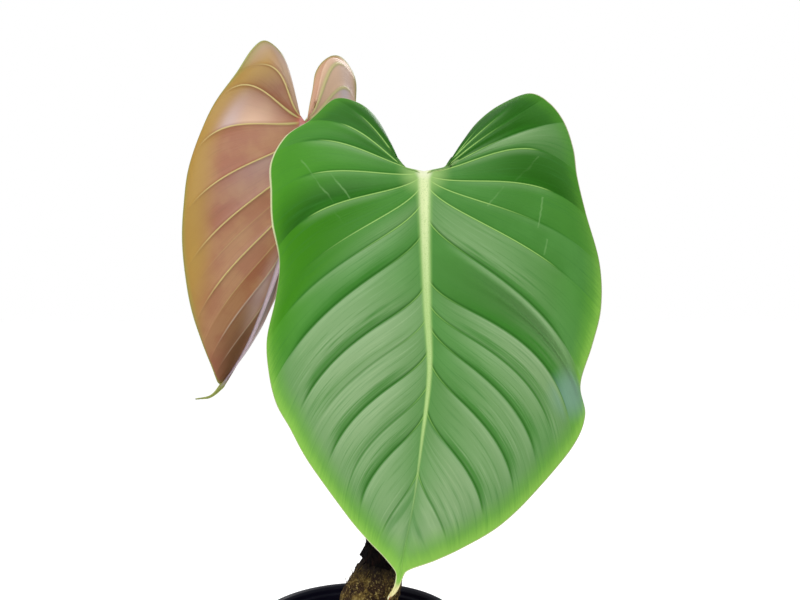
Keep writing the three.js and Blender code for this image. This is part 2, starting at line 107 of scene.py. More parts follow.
class StemSettings(bpy.types.PropertyGroup):
    bark_height: bpy.props.FloatProperty(
        name="Bark height", description="Height of the bark's lumps", default=0.0009, unit="LENGTH"
    )
    scales: bpy.props.IntProperty(
        name="Scales", description="Number of dry scales on the bark", default=260, min=0
    )
    fibres: bpy.props.IntProperty(
        name="Fibres", description="Number of fibres on the old sheath", default=420, min=0
    )


class PotSettings(bpy.types.PropertyGroup):
    sides: bpy.props.IntProperty(
        name="Sides", description="Number of sides of the pot", default=144, min=12
    )
    chips: bpy.props.IntProperty(
        name="Chips", description="Number of bark chips on the potting mix", default=900, min=0
    )
    plastic: bpy.props.FloatVectorProperty(
        name="Plastic", description="Colour of the pot", subtype="COLOR", default=linear("#05051a")
    )


# Materials.

# The colour inputs of a Mix node, and its colour output.
UNDER, OVER, MIXED = 6, 7, 2


def add_node(tree, kind, inputs=None, output=0, **settings):
    """Adds a node, gives it its settings and inputs, and returns one of its outputs."""
    node = tree.nodes.new(kind)
    for name, value in settings.items():
        setattr(node, name, value)
    for key, value in (inputs or {}).items():
        if isinstance(value, bpy.types.NodeSocket):
            tree.links.new(value, node.inputs[key])
        else:
            node.inputs[key].default_value = value
    return node.outputs[output] if node.outputs else node


def new_material(name):
    """A material with an empty tree, and the tree."""
    material = bpy.data.materials.new(name)
    material.use_nodes = True
    material.node_tree.nodes.clear()
    return material, material.node_tree


def coat(tree, under, over, strength, *masks):
    """Lays a colour over another by a strength and by masks.

    Each mask is a value, where it starts to hold, and where it holds fully.
    """
    for value, start, full in masks:
        held = add_node(
            tree, "ShaderNodeMapRange", {"Value": value, "From Min": start, "From Max": full},
            interpolation_type="SMOOTHSTEP",
        )
        strength = add_node(tree, "ShaderNodeMath", {0: held, 1: strength}, operation="MULTIPLY")
    colours = {"Factor": strength, UNDER: under, OVER: paint(over)}
    return add_node(tree, "ShaderNodeMix", colours, MIXED, data_type="RGBA")


def add_surface(tree, colour, relief, depth, roughness, specular):
    """Ends a tree with its colour, its relief of a depth in millimetres, and its gloss."""
    normal = add_node(tree, "ShaderNodeBump", {"Distance": depth * MM, "Height": relief})
    look = {
        "Base Color": colour, "Normal": normal, "Roughness": roughness,
        "Specular IOR Level": specular,
    }
    shader = add_node(tree, "ShaderNodeBsdfPrincipled", look)
    add_node(tree, "ShaderNodeOutputMaterial", {"Surface": shader})


BLADE_ATTRIBUTES = {
    "vein": ("number", "gap", "depth"),
    "reach": ("spine", "margin", "midrib"),
    "tone": ("light", "dark", "vivid_and_sheen"),
    "line": ("pale", "share", "band"),
}


def blade_values(tree, leaf):
    """What a blade's mesh tells of each place on it.

    The side veins are counted by number. Past and ahead are how far the last and the next of
    them are, depth is how strong the nearest one is, and pale is how light. Spine and margin
    are how far those are, and share is how far out the place lies between them. Inside is how
    far the midrib's middle is, where 1 is its edge. Light, dark and vivid are soft tones: light
    is a painted sheen and highlight, dark is painted shade on the mature leaf and a darker brown
    on the new leaf, and vivid is a vivid green on the mature leaf and a painted lilac sheen on
    the new leaf.
    These distances are in millimetres. In metres, across and height are places in the frame,
    and hub is how far the sinus is.
    """
    values = {"place": add_node(tree, "ShaderNodeTexCoord", output="Object")}
    for attribute, parts in BLADE_ATTRIBUTES.items():
        read = add_node(tree, "ShaderNodeAttribute", output="Vector", attribute_name=attribute)
        split = add_node(tree, "ShaderNodeSeparateXYZ", {0: read}).node
        values.update(zip(parts, split.outputs))
    between = add_node(tree, "ShaderNodeMath", {0: values["number"]}, operation="FRACT")
    past = add_node(tree, "ShaderNodeMath", {0: between, 1: values["gap"]}, operation="MULTIPLY")
    ahead = add_node(tree, "ShaderNodeMath", {0: values["gap"], 1: past}, operation="SUBTRACT")
    values["past"] = past
    values["ahead"] = ahead
    values["nearest"] = add_node(tree, "ShaderNodeMath", {0: past, 1: ahead}, operation="MINIMUM")
    values["inside"] = add_node(
        tree, "ShaderNodeMath", {0: values["midrib"], 1: values["band"]}, operation="DIVIDE"
    )
    place = add_node(tree, "ShaderNodeSeparateXYZ", {0: values["place"]}).node
    values["across"], values["height"] = place.outputs["X"], place.outputs["Z"]
    values["hub"] = add_node(
        tree, "ShaderNodeVectorMath", {0: values["place"], 1: sinus_place(leaf)}, "Value",
        operation="DISTANCE",
    )
    return values


def blade_stripes(tree, at, count, length):
    """Fine lines that run with the side veins, with so many of them from one to the next."""
    across = add_node(
        tree, "ShaderNodeMath", {0: at["number"], 1: float(count)}, operation="MULTIPLY"
    )
    along = add_node(tree, "ShaderNodeMath", {0: at["spine"], 1: length}, operation="DIVIDE")
    vector = add_node(tree, "ShaderNodeCombineXYZ", {0: across, 1: along})
    return add_node(
        tree, "ShaderNodeTexNoise",
        {"Vector": vector, "Scale": 1.0, "Detail": 3.0, "Roughness": 0.65},
        noise_dimensions="2D",
    )


# A bluish reflection beside the notch in the right margin, in millimetres in the frame.
NOTCH_PLACE = (142, -80, 299)
# Each fold runs between two places, in millimetres to the right of the sinus and above it.
FOLDS = (
    ((-78, 10), (-56, -19)), ((-61, 4), (-46, -15)), ((-60, -21), (-47, -34)),
    ((60, -5), (77, 12)), ((53, -8), (43, -21)), ((79, -15), (75, -34)), ((81, -42), (79, -52)),
)
FOLD_WIDTH = 0.9


def fold_distance(tree, at):
    """How far the nearest fold is, in millimetres, with a little wavering.

    The folds are short lines across a blade, left from when it was rolled up in the bud.
    """
    waver = add_node(
        tree, "ShaderNodeTexNoise", {"Vector": at["place"], "Scale": 110.0, "Detail": 2.0},
        output="Color",
    )
    place = add_node(
        tree, "ShaderNodeVectorMath", {0: waver, 1: (0.004, 0, 0.004), 2: at["place"]},
        operation="MULTIPLY_ADD",
    )
    place = add_node(
        tree, "ShaderNodeVectorMath", {0: place, 1: (1 / MM, 0, 1 / MM)}, operation="MULTIPLY"
    )
    right, _, up = MATURE_LEAF["sinus"]
    shortest = 1000.0
    for first, last in FOLDS:
        start = Vector((right + first[0], 0, up + first[1]))
        way = Vector((right + last[0], 0, up + last[1])) - start
        from_start = add_node(
            tree, "ShaderNodeVectorMath", {0: place, 1: start}, operation="SUBTRACT"
        )
        along = add_node(
            tree, "ShaderNodeVectorMath", {0: from_start, 1: way / way.dot(way)}, "Value",
            operation="DOT_PRODUCT",
        )
        along = add_node(tree, "ShaderNodeClamp", {0: along})
        nearest = add_node(
            tree, "ShaderNodeVectorMath", {0: way, "Scale": along}, operation="SCALE"
        )
        distance = add_node(
            tree, "ShaderNodeVectorMath", {0: from_start, 1: nearest}, "Value",
            operation="DISTANCE",
        )
        shortest = add_node(
            tree, "ShaderNodeMath", {0: shortest, 1: distance}, operation="MINIMUM"
        )
    return shortest


def mature_upper_skin():
    """The upper skin of a mature aroid leaf: a waxed cuticle over deep green tissue.

    It is satin rather than glossy. Fine lines run with the side veins, about one every 1.4 mm.
    Painted shade darkens the tissue where it falls to a side vein, and a silvery painted sheen
    lies past it.
    """
    material, tree = new_material("leaf_upper_skin")
    at = blade_values(tree, MATURE_LEAF)
    stripes = blade_stripes(tree, at, 14, 60.0)
    cloud = add_node(
        tree, "ShaderNodeTexNoise", {"Vector": at["place"], "Scale": 26.0, "Detail": 3.0}
    )
    colour = (*bpy.context.scene.philodendron_mature_leaf.green, 1.0)
    colour = coat(tree, colour, "#5c9b4b", 0.45, (cloud, 0.35, 0.7))
    colour = coat(tree, colour, "#459014", at["vivid_and_sheen"])
    # Dark patches are painted shade where the blade turns away from the light. Light patches, with
    # paler streaks in them, are a painted silvery sheen.
    colour = coat(tree, colour, "#236008", at["dark"])
    colour = coat(tree, colour, "#8bac79", at["light"], (stripes, -0.1, 0.45))
    colour = coat(tree, colour, "#3c7c33", 0.35, (stripes, 0.5, 0.25))
    colour = coat(tree, colour, "#a3c08f", 0.4, (stripes, 0.55, 0.75), (at["light"], 0.1, 0.8))

    # The blade falls steeply to each side vein and rises gently past it. Painted shade darkens the
    # fall and the groove, and a painted silvery sheen lies on the rise past it.
    steep = (at["depth"], 0.3, 1.6)
    middle = (at["share"], 0.05, 0.35)
    end = (at["share"], 1.0, 0.75)
    streaked = add_node(
        tree, "ShaderNodeMath", {0: stripes, 1: 8.0, 2: at["ahead"]}, operation="MULTIPLY_ADD"
    )
    colour = coat(tree, colour, "#347c1e", 0.75, (streaked, 12.5, 6.0), steep, middle, end)
    colour = coat(tree, colour, "#1c5208", 0.7, (at["ahead"], 2.2, 0.3), steep, end)
    colour = coat(tree, colour, "#9dbd8c", 0.4, (at["past"], 7.0, 0.4), steep, middle)
    line = (at["nearest"], 1.0, 0.3)
    colour = coat(tree, colour, "#2f741b", 0.7, line, (at["depth"], 0.1, 0.9), end)
    shown = add_node(tree, "ShaderNodeMath", {0: at["pale"], 1: at["share"]}, operation="SUBTRACT")
    colour = coat(tree, colour, "#a3cf70", 0.85, (at["nearest"], 0.56, 0.12), (shown, -0.25, 0.15))

    # Old folds, and a margin that is fresh green above and yellow-green below. The yellow-green is
    # a painted glow of light shining through the thin edge.
    fold = fold_distance(tree, at)
    colour = coat(tree, colour, "#8fbd78", 0.35, (fold, FOLD_WIDTH, 0.1), (cloud, 0.38, 0.58))
    rim = add_node(
        tree, "ShaderNodeMath", {0: stripes, 1: -7.0, 2: at["margin"]}, operation="MULTIPLY_ADD"
    )
    upper_half = (at["number"], 8.0, 5.0)
    lower_half = (at["number"], 5.0, 9.0)
    colour = coat(tree, colour, "#569c26", 0.45, (rim, 8.0, -4.0), upper_half)
    colour = coat(tree, colour, "#6fae3c", 0.8, (rim, 17.0, 0.0), lower_half)
    colour = coat(tree, colour, "#95cd53", 0.75, (rim, 6.5, -4.0), lower_half)

    # The blade's side by the notch is turned to the sky, and looks bluish.
    notch = add_node(
        tree, "ShaderNodeVectorMath", {0: at["place"], 1: Vector(NOTCH_PLACE) * MM}, "Value",
        operation="DISTANCE",
    )
    colour = coat(tree, colour, "#84a99b", 0.6, (notch, 0.022, 0.005), (at["past"], 1.0, 4.0))

    # The midrib is a soft pale band with green specks, which starts in a pale hub.
    specks = add_node(
        tree, "ShaderNodeTexNoise", {"Vector": at["place"], "Scale": 1500.0, "Detail": 1.0}
    )
    colour = coat(tree, colour, "#a7cb79", 0.75, (at["hub"], 0.02, 0.005))
    upper_rib = (at["height"], 0.24, 0.29)
    colour = coat(tree, colour, "#93bf69", 0.65, (at["inside"], 1.9, 0.8), upper_rib)
    rib = coat(tree, paint("#b4d587"), "#e2efb4", 1.0, (at["height"], 0.34, 0.437))
    rib = coat(tree, rib, "#92bd63", 0.4, (specks, 0.52, 0.7))
    inside = add_node(
        tree, "ShaderNodeMapRange",
        {"Value": at["inside"], "From Min": 1.4, "From Max": 0.35},
        interpolation_type="SMOOTHSTEP",
    )
    strength = add_node(
        tree, "ShaderNodeMapRange",
        {"Value": at["height"], "From Min": 0.225, "From Max": 0.285, "To Min": 0.16},
    )
    strength = add_node(tree, "ShaderNodeMath", {0: inside, 1: strength}, operation="MULTIPLY")
    colour = add_node(
        tree, "ShaderNodeMix", {"Factor": strength, UNDER: colour, OVER: rib}, MIXED,
        data_type="RGBA",
    )
    colour = coat(tree, colour, "#eef4cf", 0.9, (at["hub"], 0.007, 0.002))

    # The margin ends in a thin cream line, and the drip tip is cream with a dry end.
    past_lobe = (at["number"], 1.8, 2.6)
    colour = coat(tree, colour, "#c9c79b", 0.6, (at["margin"], 0.6, 0.2), (at["spine"], 20.0, 45.0))
    colour = coat(tree, colour, "#dfe0b0", 0.8, (at["margin"], 0.8, 0.25), past_lobe)
    left = (at["across"], 0.02, -0.01)
    lobe = (at["number"], 5.5, 4.5)
    colour = coat(tree, colour, "#dfe0b0", 0.85, (at["margin"], 1.7, 0.8), past_lobe, lobe, left)
    colour = coat(tree, colour, "#efe6a8", 1.0, (at["height"], 0.189, 0.183))
    colour = coat(tree, colour, "#8a2a1a", 1.0, (at["height"], 0.1805, 0.1785))

    add_surface(tree, colour, stripes, depth=0.14, roughness=0.46, specular=0.14)
    return material


def mature_under_skin():
    """The underside of a mature leaf: matt, paler, with raised yellow-green veins."""
    material, tree = new_material("leaf_under_skin")
    at = blade_values(tree, MATURE_LEAF)
    stripes = blade_stripes(tree, at, 14, 60.0)
    colour = coat(tree, paint("#65904c"), "#7aa55f", 0.9, (stripes, 0.3, 0.7))
    # The darker patches are the same painted shade as on the upper side.
    colour = coat(tree, colour, "#4e7c35", 0.5, (at["dark"], 0.0, 1.0))
    colour = coat(tree, colour, "#8db05a", 0.6, (at["margin"], 14.0, 1.0))
    veined = (at["depth"], 0.1, 1.0)
    colour = coat(tree, colour, "#54803c", 0.6, (at["nearest"], 2.6, 0.9), veined)
    colour = coat(tree, colour, "#b3cc86", 0.85, (at["nearest"], 1.1, 0.4), veined)
    colour = coat(tree, colour, "#b9cc86", 0.95, (at["inside"], 1.35, 0.9))
    # Close to the sinus, where the lobes fold over, the underside is painted dark green as shade in
    # the fold, and a lighter green nearest the sinus.
    folded = (at["number"], 3.2, 2.2)
    colour = coat(tree, colour, "#356f22", 0.95, (at["hub"], 0.036, 0.019), folded)
    colour = coat(tree, colour, "#7fae54", 0.8, (at["hub"], 0.02, 0.01), folded)
    colour = coat(tree, colour, "#efe6a8", 1.0, (at["height"], 0.189, 0.183))
    add_surface(tree, colour, stripes, depth=0.2, roughness=0.6, specular=0.3)
    return material


def leaf_margin(name, leaf, colour, shade, by_sinus):
    """The cut edge of a blade: a thin clear rim of hard tissue, of another tone by the sinus."""
    material, tree = new_material(name)
    at = blade_values(tree, leaf)
    tone = add_node(
        tree, "ShaderNodeTexNoise", {"Vector": at["place"], "Scale": 120.0, "Detail": 2.0}
    )
    mixed = coat(tree, paint(colour), shade, 1.0, (tone, 0.35, 0.7))
    mixed = coat(tree, mixed, by_sinus, 0.9, (at["number"], 2.4, 1.8))
    add_surface(tree, mixed, tone, depth=1.0, roughness=0.5, specular=0.2)
    return material


def new_under_skin():
    """The underside of a young leaf: thin bronze tissue, still without much green.

    It is silky, with raised straw veins, golden towards the margin and rosy near the sinus. It has
    a painted pink highlight where it faces the light, and a painted lilac sheen where it catches
    the light at a slant.
    """
    material, tree = new_material("new_leaf_under_skin")
    at = blade_values(tree, NEW_LEAF)
    stripes = blade_stripes(tree, at, 16, 50.0)
    cloud = add_node(
        tree, "ShaderNodeTexNoise", {"Vector": at["place"], "Scale": 34.0, "Detail": 3.0}
    )
    # The tissue is golden towards the margin, and beige on the inner side of its left lobe.
    colour = (*bpy.context.scene.philodendron_new_leaf.bronze, 1.0)
    colour = coat(tree, colour, "#b98c5e", 0.6, (cloud, 0.4, 0.65))
    colour = coat(tree, colour, "#8c5a3c", 0.35, (stripes, 0.5, 0.75))
    top = (at["number"], 8.0, 5.0)
    left = (at["across"], -0.05, -0.053)
    outer = (at["across"], -0.064, -0.079)
    colour = coat(tree, colour, "#b28c3c", 0.9, (at["margin"], 46.0, 8.0), top, outer)
    inner = (at["across"], -0.079, -0.064)
    in_lobe = (at["number"], 1.3, 0.7)
    colour = coat(tree, colour, "#c6ae94", 0.75, (at["margin"], 4.0, 12.0), inner, in_lobe, left)
    upper_half = (at["number"], 9.0, 6.0)
    colour = coat(tree, colour, "#a37a30", 0.6, (at["margin"], 15.0, 3.0), upper_half)
    # Dark patches are a darker brown. Light patches are a painted pink highlight, and on the right
    # lobe painted light shining through it. The lilac patches are a painted sheen.
    colour = coat(tree, colour, "#5a3810", at["dark"])
    colour = coat(tree, colour, "#f5d0b2", at["light"])
    past_lobe = (at["number"], 0.9, 1.3)
    colour = coat(tree, colour, "#b58f42", 0.6, (at["margin"], 42.0, 12.0), top, left, past_lobe)
    colour = coat(tree, colour, "#d5c8cf", at["vivid_and_sheen"])
    colour = coat(tree, colour, "#9c9a45", 0.5, (at["margin"], 7.0, 1.0), upper_half)
    colour = coat(tree, colour, "#8f7a3c", 0.6, (at["margin"], 3.0, 0.8))

    # The raised side veins, each with a soft shade beside it.
    veined = (at["depth"], 0.0, 0.9)
    colour = coat(tree, colour, "#8a5636", 0.3, (at["nearest"], 3.0, 0.7), veined)
    straw = (at["pale"], 0.0, 1.0)
    colour = coat(tree, colour, "#d3c07c", 0.9, (at["nearest"], 0.62, 0.15), straw)
    colour = coat(
        tree, colour, "#c6bb76", 0.7, (at["nearest"], 1.2, 0.4), straw, (at["spine"], 32.0, 5.0)
    )
    # Past the eighth vein the veins carry a painted lilac highlight where the blade slants.
    slanting = (at["number"], 8.3, 8.6)
    colour = coat(tree, colour, "#b59ca4", 0.85, (at["nearest"], 0.7, 0.2), straw, slanting)
    lobe = (at["across"], -0.047, -0.044)
    colour = coat(tree, colour, "#cdc68c", 0.75, (at["nearest"], 2.3, 0.9), straw, lobe)
    # The midrib's ridge carries a painted grey-lilac highlight.
    colour = coat(tree, colour, "#cbb8c4", 0.9, (at["inside"], 1.4, 0.8))
    colour = coat(tree, colour, "#bf5b48", 0.8, (at["hub"], 0.009, 0.002))
    colour = coat(tree, colour, "#96a04c", 1.0, (at["height"], 0.293, 0.282))
    colour = coat(tree, colour, "#a3ab5e", 0.9, (at["margin"], 1.3, 0.4))
    # The fine lines stand out only past the lobes.
    lined = add_node(
        tree, "ShaderNodeMapRange", {"Value": at["number"], "From Min": 1.0, "From Max": 2.0}
    )
    relief = add_node(tree, "ShaderNodeMath", {0: stripes, 1: lined}, operation="MULTIPLY")
    add_surface(tree, colour, relief, depth=0.12, roughness=0.42, specular=0.35)
    return material


def new_upper_skin():
    """The upper skin of a young leaf: glossy red-bronze, with green sunk veins."""
    material, tree = new_material("new_leaf_upper_skin")
    at = blade_values(tree, NEW_LEAF)
    stripes = blade_stripes(tree, at, 16, 50.0)
    colour = coat(tree, paint("#81422a"), "#945835", 0.9, (stripes, 0.3, 0.75))
    # Painted shade darkens the blade where it falls to each side vein.
    colour = coat(tree, colour, "#5f2c1c", 0.5, (at["ahead"], 7.0, 0.5), (at["depth"], 0.2, 1.2))
    colour = coat(tree, colour, "#8f7c36", 0.7, (at["margin"], 30.0, 2.0))
    veined = (at["depth"], 0.0, 0.7)
    colour = coat(tree, colour, "#a3a04e", 0.85, (at["nearest"], 1.1, 0.4), veined)
    colour = coat(tree, colour, "#b2a95e", 0.95, (at["inside"], 1.3, 0.8))
    colour = coat(tree, colour, "#b5917a", 0.9, (at["hub"], 0.045, 0.03), (at["number"], 1.2, 0.7))
    add_surface(tree, colour, stripes, depth=0.1, roughness=0.32, specular=0.4)
    return material


def petiole_skin(name, low, high, streak):
    """The skin of a leaf stalk: smooth and waxy, with fine streaks along it, every 1 mm."""
    material, tree = new_material(name)
    tube = add_node(tree, "ShaderNodeAttribute", output="Vector", attribute_name="tube")
    along = add_node(tree, "ShaderNodeSeparateXYZ", {0: tube}, "Y")
    vector = add_node(tree, "ShaderNodeMapping", {"Vector": tube, "Scale": (26.0, 5.0, 1.0)})
    streaks = add_node(
        tree, "ShaderNodeTexNoise", {"Vector": vector, "Scale": 1.0, "Detail": 3.0},
        noise_dimensions="2D",
    )
    colour = coat(tree, paint(low), high, 1.0, (along, 0.0, 1.0))
    colour = coat(tree, colour, streak, 0.5, (streaks, 0.5, 0.75))
    add_surface(tree, colour, streaks, depth=0.2, roughness=0.42, specular=0.4)
    return material


def mossy_bark():
    """The skin of a creeping stem: corky brown bark, granular at 1 mm, with moss on it."""
    material, tree = new_material("mossy_bark")
    place = add_node(tree, "ShaderNodeTexCoord", output="Object")
    grains = add_node(
        tree, "ShaderNodeTexNoise",
        {"Vector": place, "Scale": 520.0, "Detail": 5.0, "Roughness": 0.7},
    )
    patches = add_node(
        tree, "ShaderNodeTexNoise",
        {"Vector": place, "Scale": 90.0, "Detail": 4.0, "Roughness": 0.65},
    )
    height = add_node(tree, "ShaderNodeSeparateXYZ", {0: place}, "Z")
    colour = coat(tree, paint("#3a2617"), "#7b6430", 1.0, (patches, 0.42, 0.6))
    colour = coat(tree, colour, "#bfa865", 0.9, (grains, 0.53, 0.66))
    colour = coat(tree, colour, "#120a06", 0.95, (grains, 0.48, 0.34))
    # Pale beige patches on the stem from 138 mm up are a painted highlight.
    colour = coat(tree, colour, "#c8b48c", 0.5, (patches, 0.6, 0.68), (height, 0.138, 0.15))
    colour = coat(tree, colour, "#160c09", 0.95, (height, 0.15, 0.166))
    relief = add_node(
        tree, "ShaderNodeMath", {0: grains, 1: 0.9, 2: patches}, operation="MULTIPLY_ADD"
    )
    add_surface(tree, colour, relief, depth=1.0, roughness=0.9, specular=0.25)
    return material


def dead_fibre(name, dark, bright):
    """Dry strands of dead leaf sheath, with lighter and darker lines along them."""
    material, tree = new_material(name)
    place = add_node(tree, "ShaderNodeTexCoord", output="Object")
    drawn_out = add_node(
        tree, "ShaderNodeMapping", {"Vector": place, "Scale": (520.0, 520.0, 60.0)}
    )
    strands = add_node(
        tree, "ShaderNodeTexNoise", {"Vector": drawn_out, "Scale": 1.0, "Detail": 3.0}
    )
    colour = coat(tree, paint(dark), bright, 1.0, (strands, 0.48, 0.75))
    add_surface(tree, colour, strands, depth=0.8, roughness=0.9, specular=0.12)
    return material


def moulded_polypropylene():
    """Injection-moulded black polypropylene: satin, a little blue, with scuffs and a fine grain."""
    material, tree = new_material("moulded_polypropylene")
    place = add_node(tree, "ShaderNodeTexCoord", output="Object")
    scuffs = add_node(
        tree, "ShaderNodeTexNoise",
        {"Vector": place, "Scale": 60.0, "Detail": 6.0, "Roughness": 0.7},
    )
    plastic = (*bpy.context.scene.philodendron_pot.plastic, 1.0)
    colour = coat(tree, plastic, "#191b33", 0.35, (scuffs, 0.55, 0.8))
    rough = add_node(tree, "ShaderNodeMapRange", {"Value": scuffs, "To Min": 0.26, "To Max": 0.56})
    grain = add_node(tree, "ShaderNodeTexNoise", {"Vector": place, "Scale": 1500.0, "Detail": 1.0})
    add_surface(tree, colour, grain, depth=0.05, roughness=rough, specular=0.25)
    return material


def plain_grains(name, first, second, roughness, scale):
    """Loose matter of two mixed tones, such as peat, bark chips and perlite."""
    material, tree = new_material(name)
    place = add_node(tree, "ShaderNodeTexCoord", output="Object")
    tone = add_node(
        tree, "ShaderNodeTexNoise",
        {"Vector": place, "Scale": scale, "Detail": 5.0, "Roughness": 0.7},
    )
    colour = coat(tree, paint(first), second, 1.0, (tone, 0.35, 0.65))
    add_surface(tree, colour, tone, depth=1.2, roughness=roughness, specular=0.25)
    return material


# Meshes.


def finished_object(name, bm, materials, slot):
    """Makes a piece from a bmesh, which stands for the solid that has its slot."""
    mesh = bpy.data.meshes.new(name)
    bm.to_mesh(mesh)
    bm.free()
    for material in materials:
        mesh.materials.append(material)
    mesh.shade_smooth()
    piece = bpy.data.objects.new(name, mesh)
    bpy.context.scene.collection.objects.link(piece)
    for part in frame["record"]["subparts"]:
        if part["material_slot"] == slot:
            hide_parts(part["node"])
    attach(piece, "root")
    return piece


def curve_point(points, place):
    """A point on the smooth curve through a list, at a place counted in points."""
    last = len(points) - 1
    place = min(max(place, 0.0), last)
    index = min(int(place), last - 1)
    share = place - index
    start, end = points[index], points[index + 1]
    before = points[index - 1] if index > 0 else start * 2 - end
    after = points[index + 2] if index + 2 <= last else end * 2 - start
    leaving = (end - before) / 2
    arriving = (after - start) / 2
    square = (end - start) * 3 - leaving * 2 - arriving
    cube = (start - end) * 2 + leaving + arriving
    return start + leaving * share + square * share**2 + cube * share**3
